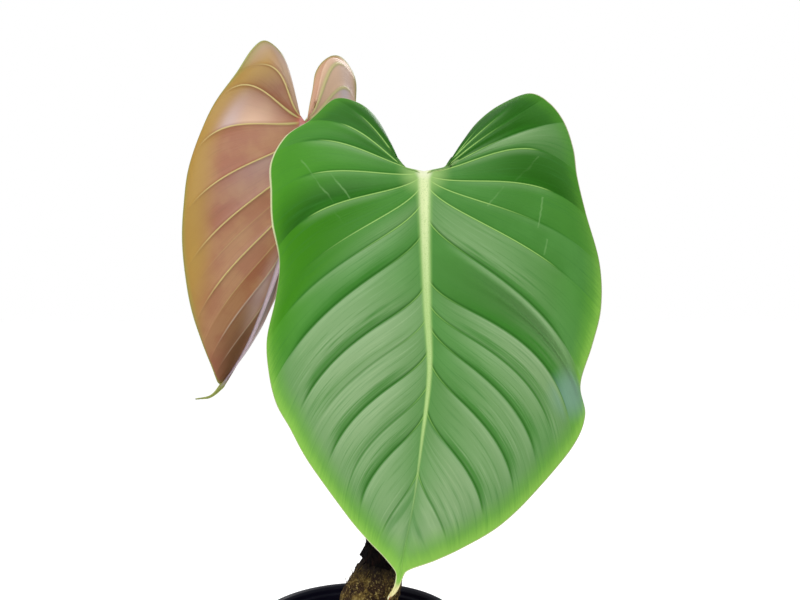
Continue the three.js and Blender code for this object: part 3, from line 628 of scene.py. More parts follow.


# Leaves. A blade hangs from its sinus, the notch where the petiole joins it. The sinus has its
# place in the frame, and every other point is in millimetres from there as (right, up, back).
# Upper is the way that each half's upper side faces, and faces_back tells whether that is back.
# The midrib list runs down to the end of the drip tip.
# Each row is one line that leaves the leaf's spine and ends on its margin, as a side vein does:
# where it leaves the spine, how far it bows on the left and on the right as a share of its
# length, how far its margin rolls back, and its left and right ends. Places on the spine count
# midrib points from 0 at the sinus, and run to -1 at the corner of the sinus on each side.
# The crown is how far a line arches up, as a share of its length. A higher roll power or bow
# power puts the roll or the bow further out, and the low one holds for the lower lines. The
# ripple is how high the margin waves. The slide is how far a line first runs down beside the
# midrib, in midrib points. The dip is how much lower each line passes the corner of the sinus
# than the line before. The blade falls to a side vein over one width, and rises past it over
# the other. The midrib's depth and half width are those at the sinus and at the drip tip, and
# its band is half the width of its pale stripe at each midrib point.
# A vein has its place in the list of rows, how deep the blade dips at it, and how pale it is,
# which on the mature leaf also says how far out it stays pale. A patch lies between two side
# veins and is counted by the first: its tone, how strong it is at the first and at the next,
# its middle as a share of the way to the margin, and its reach.
# Light patches are a painted sheen and highlight, and on the new leaf's right lobe painted light
# shining through it. Dark patches are painted shade on the mature leaf, where the blade turns away
# from the light, and a darker brown on the new leaf. The third tone is a vivid green on the mature
# leaf and a painted lilac sheen on the new leaf.

MATURE_LEAF = {
    "sinus": (47, -72, 441),
    "faces_back": False,
    "upper": {"left": (0, 0, -1), "right": (0, 0, -1)},
    "crown": 0.045,
    "roll_power": 2.4,
    "bow_power": 1.9,
    "low_bow_power": 1.4,
    "ripple": 1.2,
    "slide": 0.14,
    "dip": 0.7,
    "fall_width": 4.2,
    "rise_width": 7.0,
    "rib_depth": (5.0, 0.6),
    "rib_half_width": (4.5, 0.9),
    "rib_band": (3.9, 2.9, 2.2, 1.35, 0.85, 0.55, 0.4, 0.35, 0.3),
    "midrib": (
        (0, 0, 0), (0.5, -41, -4), (1.7, -87, -8), (3, -128, -13), (-2, -171, -18.5),
        (-7.5, -209, -24), (-13, -235, -28.5), (-15.8, -250.5, -31.5), (-22.7, -263.5, -33.5),
    ),
    "rows": (
        (-1, 0, 0, 0, (-14.5, 3, 1), (14.5, 3, 1)),
        (-1, 0, 0, 5, (-18, 12, 8), (19, 11, 8)),
        (-1, 0, 0, 8, (-22.5, 23, 13.5), (26.1, 22.4, 13.5)),
        (-1, 0, 0, 10, (-31.5, 39, 18), (36.5, 36, 18)),
        (-0.98, 0.02, 0.0, 11, (-43.5, 49, 20), (51.5, 48, 20)),
        (-0.65, 0.05, 0.0, 10, (-59.5, 51.5, 18), (70.5, 55, 18)),
        (-0.4, 0.09, 0.0, 10, (-75.5, 37, 17), (84, 48, 17)),
        (-0.2, 0.12, 0.03, 11, (-92, 25.5, 17), (94.5, 35, 17)),
        (-0.05, 0.11, 0.09, 12, (-102, 8, 16.5), (100, 18, 17)),
        (0.04, 0.095, 0.15, 12, (-101.5, -12, 15), (102, -1, 15.5)),
        (0.1, 0.09, 0.1, 12, (-100, -33, 12.5), (107.5, -25, 13)),
        (0.16, 0.085, 0.06, 13, (-95.5, -58, 13), (116, -57.5, 12)),
        (0.3, 0.06, 0.05, 12, (-97, -83, 6.5), (115.5, -88, 6.5)),
        (0.55, 0.07, 0.055, 11, (-101.5, -109, 1.5), (109, -113, 2)),
        (0.9, 0.07, 0.08, 11, (-100, -131.5, -0.5), (101.5, -138, 3)),
        (1.3, 0.08, 0.13, 10, (-95, -149, -3), (103, -157, -2.5)),
        (1.73, 0.1, 0.16, 10, (-86, -164, -5.5), (94.5, -176.5, -7)),
        (2.45, 0.1, 0.13, 9, (-73.5, -185.5, -10.5), (71, -202, -12.5)),
        (3.35, 0.13, 0.12, 7, (-49.5, -216, -17), (46.5, -223, -18)),
        (4.15, 0.1, 0.1, 5, (-35, -231, -22.5), (22.5, -236, -23.5)),
        (5.05, 0.05, 0.05, 3, (-25, -240.5, -26.5), (6.5, -242, -26.5)),
        (5.96, 0.02, 0.02, 1, (-18.7, -247, -30), (-9.5, -246.5, -30)),
        (7, 0, 0, 0, (-18.1, -251, -31.4), (-13.4, -250, -31.4)),
        (7.5, 0, 0, 0, (-19.7, -257.2, -32.6), (-17.1, -258.2, -32.6)),
        (8, 0, 0, 0, (-22.7, -263.5, -33.5), (-22.7, -263.5, -33.5)),
    ),
    "veins": {
        "left": (
            (5.0, 0.9, 0.6), (6.1, 1.1, 0.75), (7.65, 1.3, 0.65), (9.1, 0.9, 0.7),
            (10.65, 1.2, 0.8), (12.1, 0.6, 0.45), (13.15, 1.0, 0.2), (14.45, 1.9, -0.05),
            (16.15, 2.2, -0.12), (16.8, 0.6, -0.2), (17.4, 1.8, -0.15), (17.95, 0.7, -0.2),
            (18.45, 1.6, -0.15), (19.5, 0.7, -0.3),
        ),
        "right": (
            (3.8, 0.6, 0.4), (4.9, 0.9, 0.5), (5.7, 0.7, 0.4), (6.95, 1.7, 0.35),
            (8.9, 1.2, 0.85), (10.1, 1.0, 0.9), (11.1, 0.7, 0.4), (12.1, 0.8, 0.65),
            (13.85, 1.7, 0.05), (16.0, 2.2, -0.1), (16.5, 0.5, -0.2), (16.95, 2.0, -0.1),
            (17.6, 1.9, -0.12), (18.4, 1.6, -0.15), (19.5, 0.7, -0.3),
        ),
    },
    "patches": {
        "left": (
            (0, "dark", 0.9, 0.95, 0.5, 1.2),
            (1, "dark", 0.9, 1.0, 0.45, 0.8),
            (2, "dark", 0.5, 1.0, 0.3, 0.3),
            (2, "vivid_and_sheen", 0.5, 0.3, 0.9, 0.4),
            (3, "light", 0.08, 0.0, 0.45, 0.3),
            (3, "vivid_and_sheen", 0.7, 0.7, 0.85, 0.5),
            (3, "dark", 0.0, 0.4, 0.15, 0.2),
            (4, "dark", 0.0, 1.3, 0.6, 0.45),
            (4, "vivid_and_sheen", 0.8, 1.0, 0.9, 0.4),
            (5, "dark", 0.45, 0.45, 0.6, 0.4),
            (5, "vivid_and_sheen", 1.0, 1.0, 0.75, 0.5),
            (6, "light", 0.0, 0.6, 0.2, 0.25),
            (6, "dark", 0.4, 0.3, 0.7, 0.35),
            (6, "vivid_and_sheen", 1.0, 1.0, 0.8, 0.45),
            (7, "light", 0.5, 0.0, 0.3, 0.3),
            (7, "vivid_and_sheen", 0.8, 0.4, 0.9, 0.3),
            (8, "light", 0.75, 0.95, 0.55, 0.4),
            (9, "light", 1.1, 1.0, 0.45, 0.5),
            (10, "light", 1.1, 0.9, 0.5, 0.5),
            (11, "light", 1.1, 0.8, 0.5, 0.5),
            (12, "light", 0.7, 0.8, 0.5, 0.45),
            (13, "light", 0.7, 0.8, 0.5, 0.45),
            (14, "light", 0.9, 0.6, 0.55, 0.6),
        ),
        "right": (
            (0, "dark", 1.2, 1.2, 0.5, 1.4),
            (1, "dark", 1.2, 1.2, 0.45, 1.2),
            (2, "dark", 1.2, 1.2, 0.45, 0.8),
            (3, "dark", 1.2, 1.3, 0.4, 0.6),
            (4, "light", 0.9, 0.25, 0.5, 0.4),
            (4, "dark", 0.0, 0.5, 0.75, 0.25),
            (5, "dark", 0.6, 1.05, 0.7, 0.42),
            (6, "vivid_and_sheen", 0.35, 0.35, 0.85, 0.3),
            (6, "dark", 0.1, 0.25, 0.7, 0.4),
            (7, "dark", 0.0, 0.15, 0.5, 0.4),
            (8, "light", 0.45, 0.7, 0.3, 0.35),
            (8, "vivid_and_sheen", 0.3, 0.0, 0.9, 0.3),
            (9, "light", 0.6, 0.25, 0.75, 0.35),
            (9, "dark", 0.0, 0.6, 0.4, 0.3),
            (10, "light", 0.9, 0.8, 0.55, 0.4),
            (11, "light", 0.6, 0.6, 0.55, 0.35),
            (12, "light", 0.6, 0.6, 0.6, 0.4),
            (13, "light", 0.7, 0.6, 0.55, 0.45),
            (14, "light", 0.9, 0.9, 0.5, 0.45),
            (15, "light", 0.9, 0.6, 0.55, 0.6),
        ),
    },
}

# The new leaf is folded along its midrib, with its underside to the front.
NEW_LEAF = {
    "sinus": (-47.5, 67, 505),
    "faces_back": True,
    "upper": {"left": (-0.16, 0, 0.99), "right": (-0.97, 0, 0.25)},
    "crown": -0.04,
    "roll_power": 2.0,
    "bow_power": 1.8,
    "low_bow_power": 1.8,
    "ripple": 1.0,
    "slide": 0.2,
    "dip": 0.0,
    "fall_width": 4.0,
    "rise_width": 5.0,
    "rib_depth": (4.5, 0.8),
    "rib_half_width": (3.6, 0.9),
    "rib_band": (3.4, 2.8, 2.3, 1.9, 1.4, 1.0, 0.8, 0.7, 0.6, 0.5),
    "midrib": (
        (0, 0, 0), (-4.5, -36, 3), (-10.5, -72.5, 6), (-22.5, -115.5, 9), (-36, -153, 10.5),
        (-51, -187, 11.5), (-71, -219.5, 12), (-77, -226, 12), (-83.5, -229, 12),
        (-92.5, -229.5, 11),
    ),
    "rows": (
        (-1, 0, 0, 0, (-4, 5, 1), (3, 4.5, 2)),
        (-1, 0, 0, 0, (-6.5, 13, 3), (3.5, 13, 6.2)),
        (-1, 0, 0, 0, (-9.8, 24, 6), (5.2, 30, 15.4)),
        (-1, 0.03, 0, 0, (-13.2, 42, 9), (7.6, 48, 26)),
        (-1, -0.02, 0.02, 0, (-20.3, 59.5, 10), (12.5, 60.5, 34)),
        (-1, 0.03, 0.05, 0, (-33.5, 69, 9), (21, 67, 41)),
        (-0.9, 0.12, 0.12, 0, (-44.5, 60.5, 6), (30, 66, 48)),
        (-0.7, 0.3, 0.32, 0, (-56.5, 40.5, 3), (37, 54, 57)),
        (-0.4, 0.3, 0.28, 0, (-73, 14.5, -1), (39, 38, 64)),
        (-0.15, 0.24, 0.18, 0, (-84.5, -12.5, -5), (38, 12.5, 71)),
        (0.05, 0.16, 0.13, 0, (-93, -41.5, -8), (33, -16.5, 77)),
        (0.28, 0.08, 0.08, 0, (-96, -70, -10), (23.5, -45.5, 80)),
        (0.68, 0.06, 0.06, 0, (-97.5, -98.5, -10), (9.5, -76, 80)),
        (1, 0.045, 0.045, 0, (-95.5, -127, -8), (-9.5, -106, 77)),
        (1.6, 0.045, 0.045, 0, (-91, -155.5, -5), (-27, -129, 71)),
        (2.35, 0.045, 0.045, 0, (-83, -184.5, 0), (-39.8, -160.5, 58)),
        (3.25, 0.03, 0.03, 0, (-77, -203, 5), (-54.3, -189, 42)),
        (4.7, 0.02, 0.02, 0, (-73.5, -215, 9), (-66.8, -210, 24)),
        (6, 0, 0, 0, (-72.6, -218.3, 12), (-69.6, -220.8, 12.6)),
        (7.5, 0, 0, 0, (-79.8, -226.6, 12), (-80.4, -229.3, 12)),
        (9, 0, 0, 0, (-92.5, -229.5, 11), (-92.5, -229.5, 11)),
    ),
    "veins": {
        "left": (
            (6.9, 1.0, 0.9), (8.15, 1.3, 1.0), (9.85, 1.3, 1.0), (11.35, 1.2, 1.0),
            (12.9, 1.3, 1.0), (13.65, 0.3, 0.3), (14.35, 1.3, 1.0), (15.0, 0.3, 0.4),
            (15.7, 0.9, 0.5), (16.5, 0.5, 0.3),
        ),
        "right": (
            (5.8, 0.5, 0.6), (7.45, 0.9, 1.0), (8.4, 1.1, 1.0), (9.8, 1.2, 1.0), (11.3, 1.2, 1.0),
            (12.9, 1.3, 1.0), (14.35, 1.3, 0.8), (15.7, 1.0, 0.5), (17, 0.6, 0.3),
        ),
    },
    "patches": {
        "left": (
            (0, "vivid_and_sheen", 1.8, 0.1, 0.97, 0.16),
            (1, "dark", 0.4, 0.35, 0.5, 0.5),
            (2, "dark", 0.5, 0.0, 0.4, 0.35),
            (2, "light", 0.1, 0.7, 0.4, 0.22),
            (2, "vivid_and_sheen", 0.0, 0.5, 0.6, 0.09),
            (3, "light", 0.25, 0.0, 0.15, 0.35),
            (4, "vivid_and_sheen", 0.35, 0.1, 0.25, 0.35),
            (5, "light", 0.12, 0.12, 0.4, 0.4),
            (6, "light", 0.2, 0.12, 0.4, 0.4),
            (7, "light", 0.15, 0.12, 0.4, 0.4),
            (8, "dark", 0.1, 0.25, 0.7, 0.35),
            (8, "vivid_and_sheen", 0.0, 0.25, 0.12, 0.14),
            (9, "dark", 0.4, 0.75, 0.6, 0.45),
            (9, "vivid_and_sheen", 0.4, 0.2, 0.2, 0.2),
            (10, "dark", 0.85, 0.9, 0.5, 0.7),
        ),
        "right": (
            (0, "light", 0.4, 0.5, 0.6, 0.8),
            (1, "light", 0.7, 0.8, 0.6, 0.8),
            (2, "light", 0.9, 0.8, 0.6, 0.8),
            (2, "vivid_and_sheen", 0.25, 0.35, 0.82, 0.14),
            (3, "light", 0.8, 0.55, 0.6, 0.8),
            (3, "vivid_and_sheen", 0.9, 0.1, 0.7, 0.16),
            (4, "light", 0.55, 0.25, 0.6, 0.8),
            (5, "light", 0.25, 0.0, 0.6, 0.8),
            (5, "dark", 0.0, 0.2, 0.5, 0.3),
            (5, "vivid_and_sheen", 0.8, 0.9, 0.97, 0.12),
            (6, "dark", 0.3, 0.35, 0.5, 0.3),
            (6, "vivid_and_sheen", 0.9, 1.0, 0.97, 0.13),
            (7, "dark", 0.9, 0.9, 0.3, 0.5),
            (7, "vivid_and_sheen", 1.0, 1.0, 0.97, 0.14),
            (8, "dark", 1.0, 1.0, 0.3, 0.5),
            (8, "vivid_and_sheen", 1.0, 1.0, 0.96, 0.18),
            (9, "dark", 0.9, 0.9, 0.3, 0.45),
            (9, "vivid_and_sheen", 1.0, 1.0, 0.95, 0.25),
        ),
    },
}


def sinus_place(leaf):
    """Where the sinus is in the frame, in metres."""
    return Vector(leaf["sinus"]) * MM


def with_vectors(leaf):
    """The leaf's lists as vectors, for the smooth curves through them."""
    ready = dict(leaf)
    ready["midrib"] = [Vector(point) for point in leaf["midrib"]]
    ready["ends"] = {
        "left": [Vector(row[4]) for row in leaf["rows"]],
        "right": [Vector(row[5]) for row in leaf["rows"]],
    }
    ready["shape"] = {
        "left": [Vector((row[0], row[1], row[3])) for row in leaf["rows"]],
        "right": [Vector((row[0], row[2], row[3])) for row in leaf["rows"]],
    }
    ready["upper"] = {side: Vector(way) for side, way in leaf["upper"].items()}
    return ready


# Over how many millimetres a line comes away from the midrib that it first runs along.
SLIDE_FADE = 8.0
# The first line that starts between the corner of the sinus and its middle, and how much of
# its dip is left out, in millimetres, so that the corner stays round.
CORNER_LINE = 4.0
CORNER_ROUNDING = 1.6
# The lines over which the bow changes from its own power to the low one.
LOW_BOW_LINES = (12.5, 15)
# How far the margin's wave goes on from one line to the next, in radians.
RIPPLE_ANGLE = 2.1


class BladeLine:
    """One line of a blade, which runs from its spine to its margin on one side."""

    def __init__(self, leaf, side, line):
        ends = leaf["ends"][side]
        line = min(max(line, 0.0), len(ends) - 1)
        spine, self.bow, self.roll = curve_point(leaf["shape"][side], line)
        self.leaf, self.side, self.line = leaf, side, line
        self.spine = max(spine, -1.0)
        self.ends = ends
        self.root = self.spine_point(self.spine)
        self.edge = curve_point(ends, line)
        self.chord = self.edge - self.root
        self.length = self.chord.length
        self.calm = smoothstep(self.length, 8, 60)
        self.towards_base = Vector((0, 0, 0))
        if self.length > 0.01:
            way = self.chord / self.length
            towards = curve_point(ends, max(line - 0.5, 0.0)) - self.edge
            towards -= way * towards.dot(way)
            if towards.length > 0.01:
                self.towards_base = towards.normalized()

    def spine_point(self, spine):
        """A point on the spine: on the midrib, or on the edge beside the sinus."""
        if spine >= 0:
            return curve_point(self.leaf["midrib"], spine)
        return self.ends[0] * -spine

    def arch(self, share, power):
        """Rises from 0 at both ends to 1 between them, further out for a higher power."""
        top = power / (power + 1)
        return share**power * (1 - share) / (top**power * (1 - top))

    def dip(self, share):
        """How far a line of a lobe dips, to pass below the corner of the sinus."""
        corner = self.ends[0]
        across = abs(self.chord.x) / max(self.length, 0.01)
        reach = (abs(corner.x) - abs(self.root.x)) / max(across, 0.3)
        if self.leaf["dip"] == 0 or reach < 0.5 or self.line < CORNER_LINE:
            return 0.0
        above = self.root.y + self.chord.y / self.length * reach - corner.y
        above += self.leaf["dip"] * (self.line - CORNER_LINE) - CORNER_ROUNDING
        far = share * self.length / reach
        return max(above, 0.0) * far * math.exp(1 - far)

    def point(self, share):
        """A point on the line, which runs down along the midrib before it turns away from it."""
        leaf = self.leaf
        point = self.root + self.chord * share
        slide = min(leaf["slide"], 0.6 * self.spine) * math.exp(-share * self.length / SLIDE_FADE)
        if slide > 0.001:
            shift = self.spine_point(self.spine - slide) - self.root
            point += shift * (1 - share)
        low = smoothstep(self.line, *LOW_BOW_LINES)
        power = lerp(leaf["bow_power"], leaf["low_bow_power"], low)
        bow = self.bow * self.length * self.arch(share, power)
        point += self.towards_base * bow
        point.y -= self.dip(share)
        rolled = self.roll * (share ** leaf["roll_power"] - share)
        phase = 0 if self.side == "left" else 2
        wave = leaf["ripple"] * math.sin(RIPPLE_ANGLE * self.line + phase) * share**4
        crown = leaf["crown"] * self.length * self.arch(share, 1.0)
        return point + leaf["upper"][self.side] * (crown - rolled + wave * self.calm)


def vein_panel(veins, line):
    """The panel between two side veins that holds a line: its number, start and end."""
    places = [-veins[0][0]] + [vein[0] for vein in veins]
    places.append(places[-1] + 6.0)
    for number in range(len(places) - 1):
        if line < places[number + 1]:
            break
    return number, places[number], places[number + 1]


# Where extra lines lie beside a side vein, counted in lines.
VEIN_FINENESS = (-0.08, -0.04, -0.015, 0.0, 0.015, 0.04, 0.08)


def blade_lines(leaf, step):
    """The lines that both halves of the mesh follow, closer together at each side vein."""
    last = len(leaf["rows"]) - 1
    stations = {0.0, float(last)}
    for vein in leaf["veins"]["left"] + leaf["veins"]["right"]:
        for offset in VEIN_FINENESS:
            stations.add(min(round(vein[0] + offset, 4), last))
    stations = sorted(stations)
    lines = [0.0]
    for start, end in zip(stations, stations[1:]):
        pieces = max(1, math.ceil((end - start) / step))
        lines += [lerp(start, end, piece / pieces) for piece in range(1, pieces + 1)]
    return lines


# The mesh's columns over the midrib and over the rest of a half, and how many places the
# midrib's curve is measured at for each of its points.
RIB_COLUMNS = 7
BLADE_COLUMNS = 44
MIDRIB_FINENESS = 24
# A raised vein's half width in millimetres, and how far its depth and its paleness reach on
# either side, in lines.
VEIN_HALF_WIDTH = 0.9
DEPTH_REACH = 0.55
PALE_REACH = 0.3
# How high a vein stands under the blade, as a share of its depth, how high the blade bulges
# over the midrib in millimetres, and how thin the blade is at its margin, as a share.
VEIN_RIDGE = 0.45
MIDRIB_BULGE = 0.4
MARGIN_WALL = 0.55
# The room for what the veins add to the wall, in millimetres.
VEIN_WALL = 1.2


def distance_to_line(points, place):
    """How far a place is from a line through points, and which point is the nearest."""
    place = np.array(tuple(place))
    nearest = int(((points - place) ** 2).sum(axis=1).argmin())
    shortest = math.inf
    for start in (nearest - 1, nearest):
        if start < 0 or start + 1 >= len(points):
            continue
        way = points[start + 1] - points[start]
        share = min(max((place - points[start]) @ way / (way @ way), 0.0), 1.0)
        shortest = min(shortest, float(np.linalg.norm(points[start] + way * share - place)))
    return shortest, nearest


def column_shares(rib_share):
    """Where the mesh's columns lie, from 0 on the spine to 1 on the margin."""
    shares = [rib_share * column / RIB_COLUMNS for column in range(RIB_COLUMNS)]
    for column in range(BLADE_COLUMNS + 1):
        even = column / BLADE_COLUMNS
        shares.append(rib_share + (1 - rib_share) * (1 - (1 - even) ** 1.2))
    return shares


def rib_amount(leaf, spine, start, end):
    """A size of the midrib, which tapers from the sinus to the tip."""
    if spine < 0:
        return lerp(start, start * 0.35, -spine)
    return lerp(start, end, (spine / (len(leaf["midrib"]) - 1)) ** 0.7)


def tones_at(patches, between, share):
    """The light, dark and vivid tones of a place in a panel, from its patches: painted sheen and
    highlight, a darker tone that is painted shade on the mature leaf, and vivid green that is a
    painted lilac sheen on the new leaf.
    """
    tones = {"light": 0.0, "dark": 0.0, "vivid_and_sheen": 0.0}
    for _, tone, first, last, middle, reach in patches:
        weight = math.exp(-(((share - middle) / reach) ** 2))
        tones[tone] = max(tones[tone], lerp(first, last, between) * weight)
    return Vector(tones.values())


class BladeHalf:
    """One half of a blade: a grid that is shaped line by line."""

    def __init__(self, leaf, side, thickness, thickest):
        self.leaf, self.side = leaf, side
        self.upper = leaf["upper"][side]
        self.on_spine = (leaf["upper"]["left"] + leaf["upper"]["right"]).normalized()
        self.veins = leaf["veins"][side]
        self.thickness, self.thickest = thickness, thickest
        fine = MIDRIB_FINENESS
        places = np.arange(fine * (len(leaf["midrib"]) - 1) + 1) / fine
        self.midrib = np.array([tuple(curve_point(leaf["midrib"], place)) for place in places])
        self.bands = np.interp(places, range(len(leaf["rib_band"])), leaf["rib_band"])

    def vein_relief(self, line, spacing):
        """How deep the blade dips beside the side veins, and how high they stand under it."""
        groove, ridge = 0.0, 0.0
        for place, depth, _ in self.veins:
            distance = (line - place) * spacing
            width = self.leaf["fall_width" if distance < 0 else "rise_width"]
            groove = max(groove, depth * math.exp(-((abs(distance) / width) ** 1.3)))
            ridge = max(ridge, depth * math.exp(-((distance / VEIN_HALF_WIDTH) ** 2)))
        return groove, ridge

    def nearest_vein(self, line):
        """How strong and how pale the side veins near a line are."""
        depth, pale = 0.0, 0.0
        for place, vein_depth, vein_pale in self.veins:
            depth = max(depth, vein_depth * math.exp(-(((line - place) / DEPTH_REACH) ** 2)))
            pale = max(pale, vein_pale * math.exp(-(((line - place) / PALE_REACH) ** 2)))
        return depth, pale

    def place_line(self, line):
        """The places along a line: each has its point, its wall and what its corners tell."""
        leaf = self.leaf
        here = BladeLine(leaf, self.side, line)
        before = BladeLine(leaf, self.side, line - 0.1)
        after = BladeLine(leaf, self.side, line + 0.1)
        half_width = rib_amount(leaf, here.spine, *leaf["rib_half_width"])
        rib_depth = rib_amount(leaf, here.spine, *leaf["rib_depth"])
        beside, below = smoothstep(here.spine, -1.0, -0.5), smoothstep(here.spine, 0.0, 0.25)
        rib_depth *= 0.2 * beside + 0.8 * below
        rib_share = min(half_width / max(here.length, 0.01), 0.3)
        near_depth, near_pale = self.nearest_vein(line)
        calm = smoothstep(here.length, 10, 50)
        whole = smoothstep(min(here.spine, len(leaf["midrib"]) - 1 - here.spine), 0.0, 0.3)
        places = []
        for share in column_shares(rib_share):
            point = here.point(share)
            along = here.point(min(share + 0.02, 1)) - here.point(max(share - 0.02, 0))
            along.normalize()
            across = (after.point(share) - before.point(share)).cross(along).length
            spacing = across / (after.line - before.line)
            groove, ridge = self.vein_relief(line, spacing)
            inside = smoothstep(share, 0, 0.15) * (1 - share**5) * calm
            point -= self.upper * (groove * inside)
            from_spine = share * here.length
            rib = rib_depth * max(0.0, math.cos(0.5 * math.pi * min(from_spine / half_width, 1)))
            from_rib, nearest = distance_to_line(self.midrib, point)
            over_rib = math.exp(-((from_rib / (0.8 * self.bands[nearest])) ** 4))
            bulge = MIDRIB_BULGE * whole * over_rib
            point += self.on_spine.lerp(self.upper, smoothstep(from_spine, 0, 3)) * bulge
            from_margin = (1 - share) * here.length
            taper = min(smoothstep(from_margin, -1, 4), smoothstep(line, -1, 3))
            wall = self.thickness / MM * lerp(MARGIN_WALL, 1.0, taper)
            wall += rib + VEIN_RIDGE * ridge * inside
            fade = smoothstep(share, 0.98, 0.6)
            places.append({
                "point": point,
                "wall": wall / self.thickest,
                "spacing": spacing,
                "depth": near_depth * fade,
                "reach": Vector((from_spine, from_margin, from_rib)),
                "line": Vector((near_pale * fade, share, self.bands[nearest])),
            })
        return places

    def add_to(self, bm, step):
        """Adds the grid to a bmesh, which has the layers already."""
        lines = blade_lines(self.leaf, step)
        columns = RIB_COLUMNS + BLADE_COLUMNS
        grid = bmesh.ops.create_grid(bm, x_segments=columns, y_segments=len(lines) - 1, size=0.5)
        deform = bm.verts.layers.deform.verify()
        origin = sinus_place(self.leaf)
        rows = [self.place_line(line) for line in lines]
        spots = {}
        for vertex in grid["verts"]:
            column = round((vertex.co.x + 0.5) * columns)
            row = round((vertex.co.y + 0.5) * (len(lines) - 1))
            place = rows[row][column]
            right, up, back = place["point"]
            spots[vertex] = (row, place)
            vertex.co = origin + Vector((right, back, up)) * MM
            vertex[deform][0] = place["wall"]
        layers = {name: bm.loops.layers.float_vector[name] for name in BLADE_ATTRIBUTES}
        for face in {face for vertex in grid["verts"] for face in vertex.link_faces}:
            middle = sum(lines[spots[vertex][0]] for vertex in face.verts) / len(face.verts)
            panel, start, end = vein_panel(self.veins, middle)
            patches = [patch for patch in self.leaf["patches"][self.side] if patch[0] == panel]
            for loop in face.loops:
                row, place = spots[loop.vert]
                between = (lines[row] - start) / (end - start)
                share = place["line"].y
                gap = place["spacing"] * (end - start)
                loop[layers["vein"]] = Vector((panel + between, gap, place["depth"]))
                loop[layers["reach"]] = place["reach"]
                loop[layers["tone"]] = tones_at(patches, between, share)
                loop[layers["line"]] = place["line"]


def make_blade(name, leaf, settings, materials, slot):
    """Makes a blade as one sheet, which a Solidify modifier gives its walls and ribs."""
    leaf = with_vectors(leaf)
    bm = bmesh.new()
    for layer in BLADE_ATTRIBUTES:
        bm.loops.layers.float_vector.new(layer)
    bm.verts.layers.deform.verify()
    thickest = settings.thickness / MM + leaf["rib_depth"][0] + VEIN_WALL
    for side in ("left", "right"):
        BladeHalf(leaf, side, settings.thickness, thickest).add_to(bm, settings.line_step)
    bmesh.ops.remove_doubles(bm, verts=bm.verts, dist=0.004 * MM)
    bmesh.ops.dissolve_degenerate(bm, edges=bm.edges, dist=0.002 * MM)
    bmesh.ops.recalc_face_normals(bm, faces=bm.faces)
    facing = sum(face.normal.y * face.calc_area() for face in bm.faces)
    if (facing > 0) != leaf["faces_back"]:
        bmesh.ops.reverse_faces(bm, faces=bm.faces)
    piece = finished_object(name, bm, materials, slot)
    piece.vertex_groups.new(name="wall")
    solid = piece.modifiers.new("wall", "SOLIDIFY")
    solid.thickness = thickest * MM
    solid.offset = -1
    solid.vertex_group = "wall"
    solid.material_offset = 1
    solid.material_offset_rim = 2
    return piece


# Tubes: the petioles, and the fibres of the stem.


def add_tube(bm, points, sides, radius_at, seam_way):
    """Adds a closed tube along points, from a grid that is wrapped round them.

    The tube attribute keeps where a place is round the tube and along it. Returns its faces.
    """
    tube_layer = bm.verts.layers.float_vector.get("tube")
    last = len(points) - 1
    grid = bmesh.ops.create_grid(bm, x_segments=sides, y_segments=last, size=0.5)
    ways = []
    for index in range(last + 1):
        ahead = points[min(index + 1, last)] - points[max(index - 1, 0)]
        ahead.normalize()
        seam_way = (seam_way - ahead * seam_way.dot(ahead)).normalized()
        ways.append((seam_way, ahead.cross(seam_way)))
    for vertex in grid["verts"]:
        round_it = vertex.co.x + 0.5
        along = vertex.co.y + 0.5
        index = round(along * last)
        first, second = ways[index]
        angle = 2 * math.pi * round_it
        radius = radius_at(round_it, along)
        offset = first * (math.cos(angle) * radius) + second * (math.sin(angle) * radius)
        vertex.co = (points[index] + offset) * MM
        vertex[tube_layer] = Vector((round_it, along, 0))
    bmesh.ops.remove_doubles(bm, verts=grid["verts"], dist=0.002 * MM)
    ring = {vertex for vertex in grid["verts"] if vertex.is_valid}
    edges = {edge for vertex in ring for edge in vertex.link_edges if edge.is_boundary}
    bmesh.ops.holes_fill(bm, edges=list(edges), sides=0)
    return {face for vertex in ring for face in vertex.link_faces}


PETIOLE_BASE_RADIUS = 6.0
PETIOLE_TOP_RADIUS = 3.9
PETIOLE_SIDES = 40
PETIOLE_STEPS = 150
MATURE_ROUTE = (
    (25.1, -4.2, 160), (25.9, -6, 190), (30.5, -18, 250), (37, -31, 320), (42.5, -44, 388),
    (45.9, -51.5, 422), (46.9, -57, 434), (47, -64.6, 437.2), (47, -68.5, 438),
)
NEW_ROUTE = (
    (15.1, 4.2, 160), (14.1, 6, 190), (5.5, 17, 255), (-8.5, 32, 330), (-24.5, 45, 405),
    (-36.5, 54, 462), (-40.8, 56.8, 488), (-41.4, 57.6, 496), (-42.4, 60.2, 499.5),
    (-44, 63.5, 501),
)


def even_points(route, steps):
    """Points along a smooth curve through a route, the same distance apart."""
    corners = [Vector(point) for point in route]
    fine = [curve_point(corners, place / 40) for place in range(40 * (len(corners) - 1) + 1)]
    lengths = [0.0]
    for start, end in zip(fine, fine[1:]):
        lengths.append(lengths[-1] + (end - start).length)
    points = []
    for step in range(steps + 1):
        place = np.interp(lengths[-1] * step / steps, lengths, range(len(fine)))
        index = min(int(place), len(fine) - 2)
        points.append(fine[index].lerp(fine[index + 1], place - index))
    return points


def petiole_radius(round_it, along):
    """The radius of a petiole: it tapers, has a shallow channel, and swells below its leaf."""
    radius = lerp(PETIOLE_BASE_RADIUS, PETIOLE_TOP_RADIUS, along**0.7)
    radius += 0.7 * smoothstep(along, 0.86, 0.94)
    radius -= 0.35 * math.exp(-(((round_it - 0.75) / 0.08) ** 2)) * (1 - along)
    radius += 0.12 * noise.noise(Vector((3 * math.sin(2 * math.pi * round_it), along * 14, 7)))
    return radius * math.sqrt(max(1 - smoothstep(along, 0.97, 1.0) ** 2, 0.02))


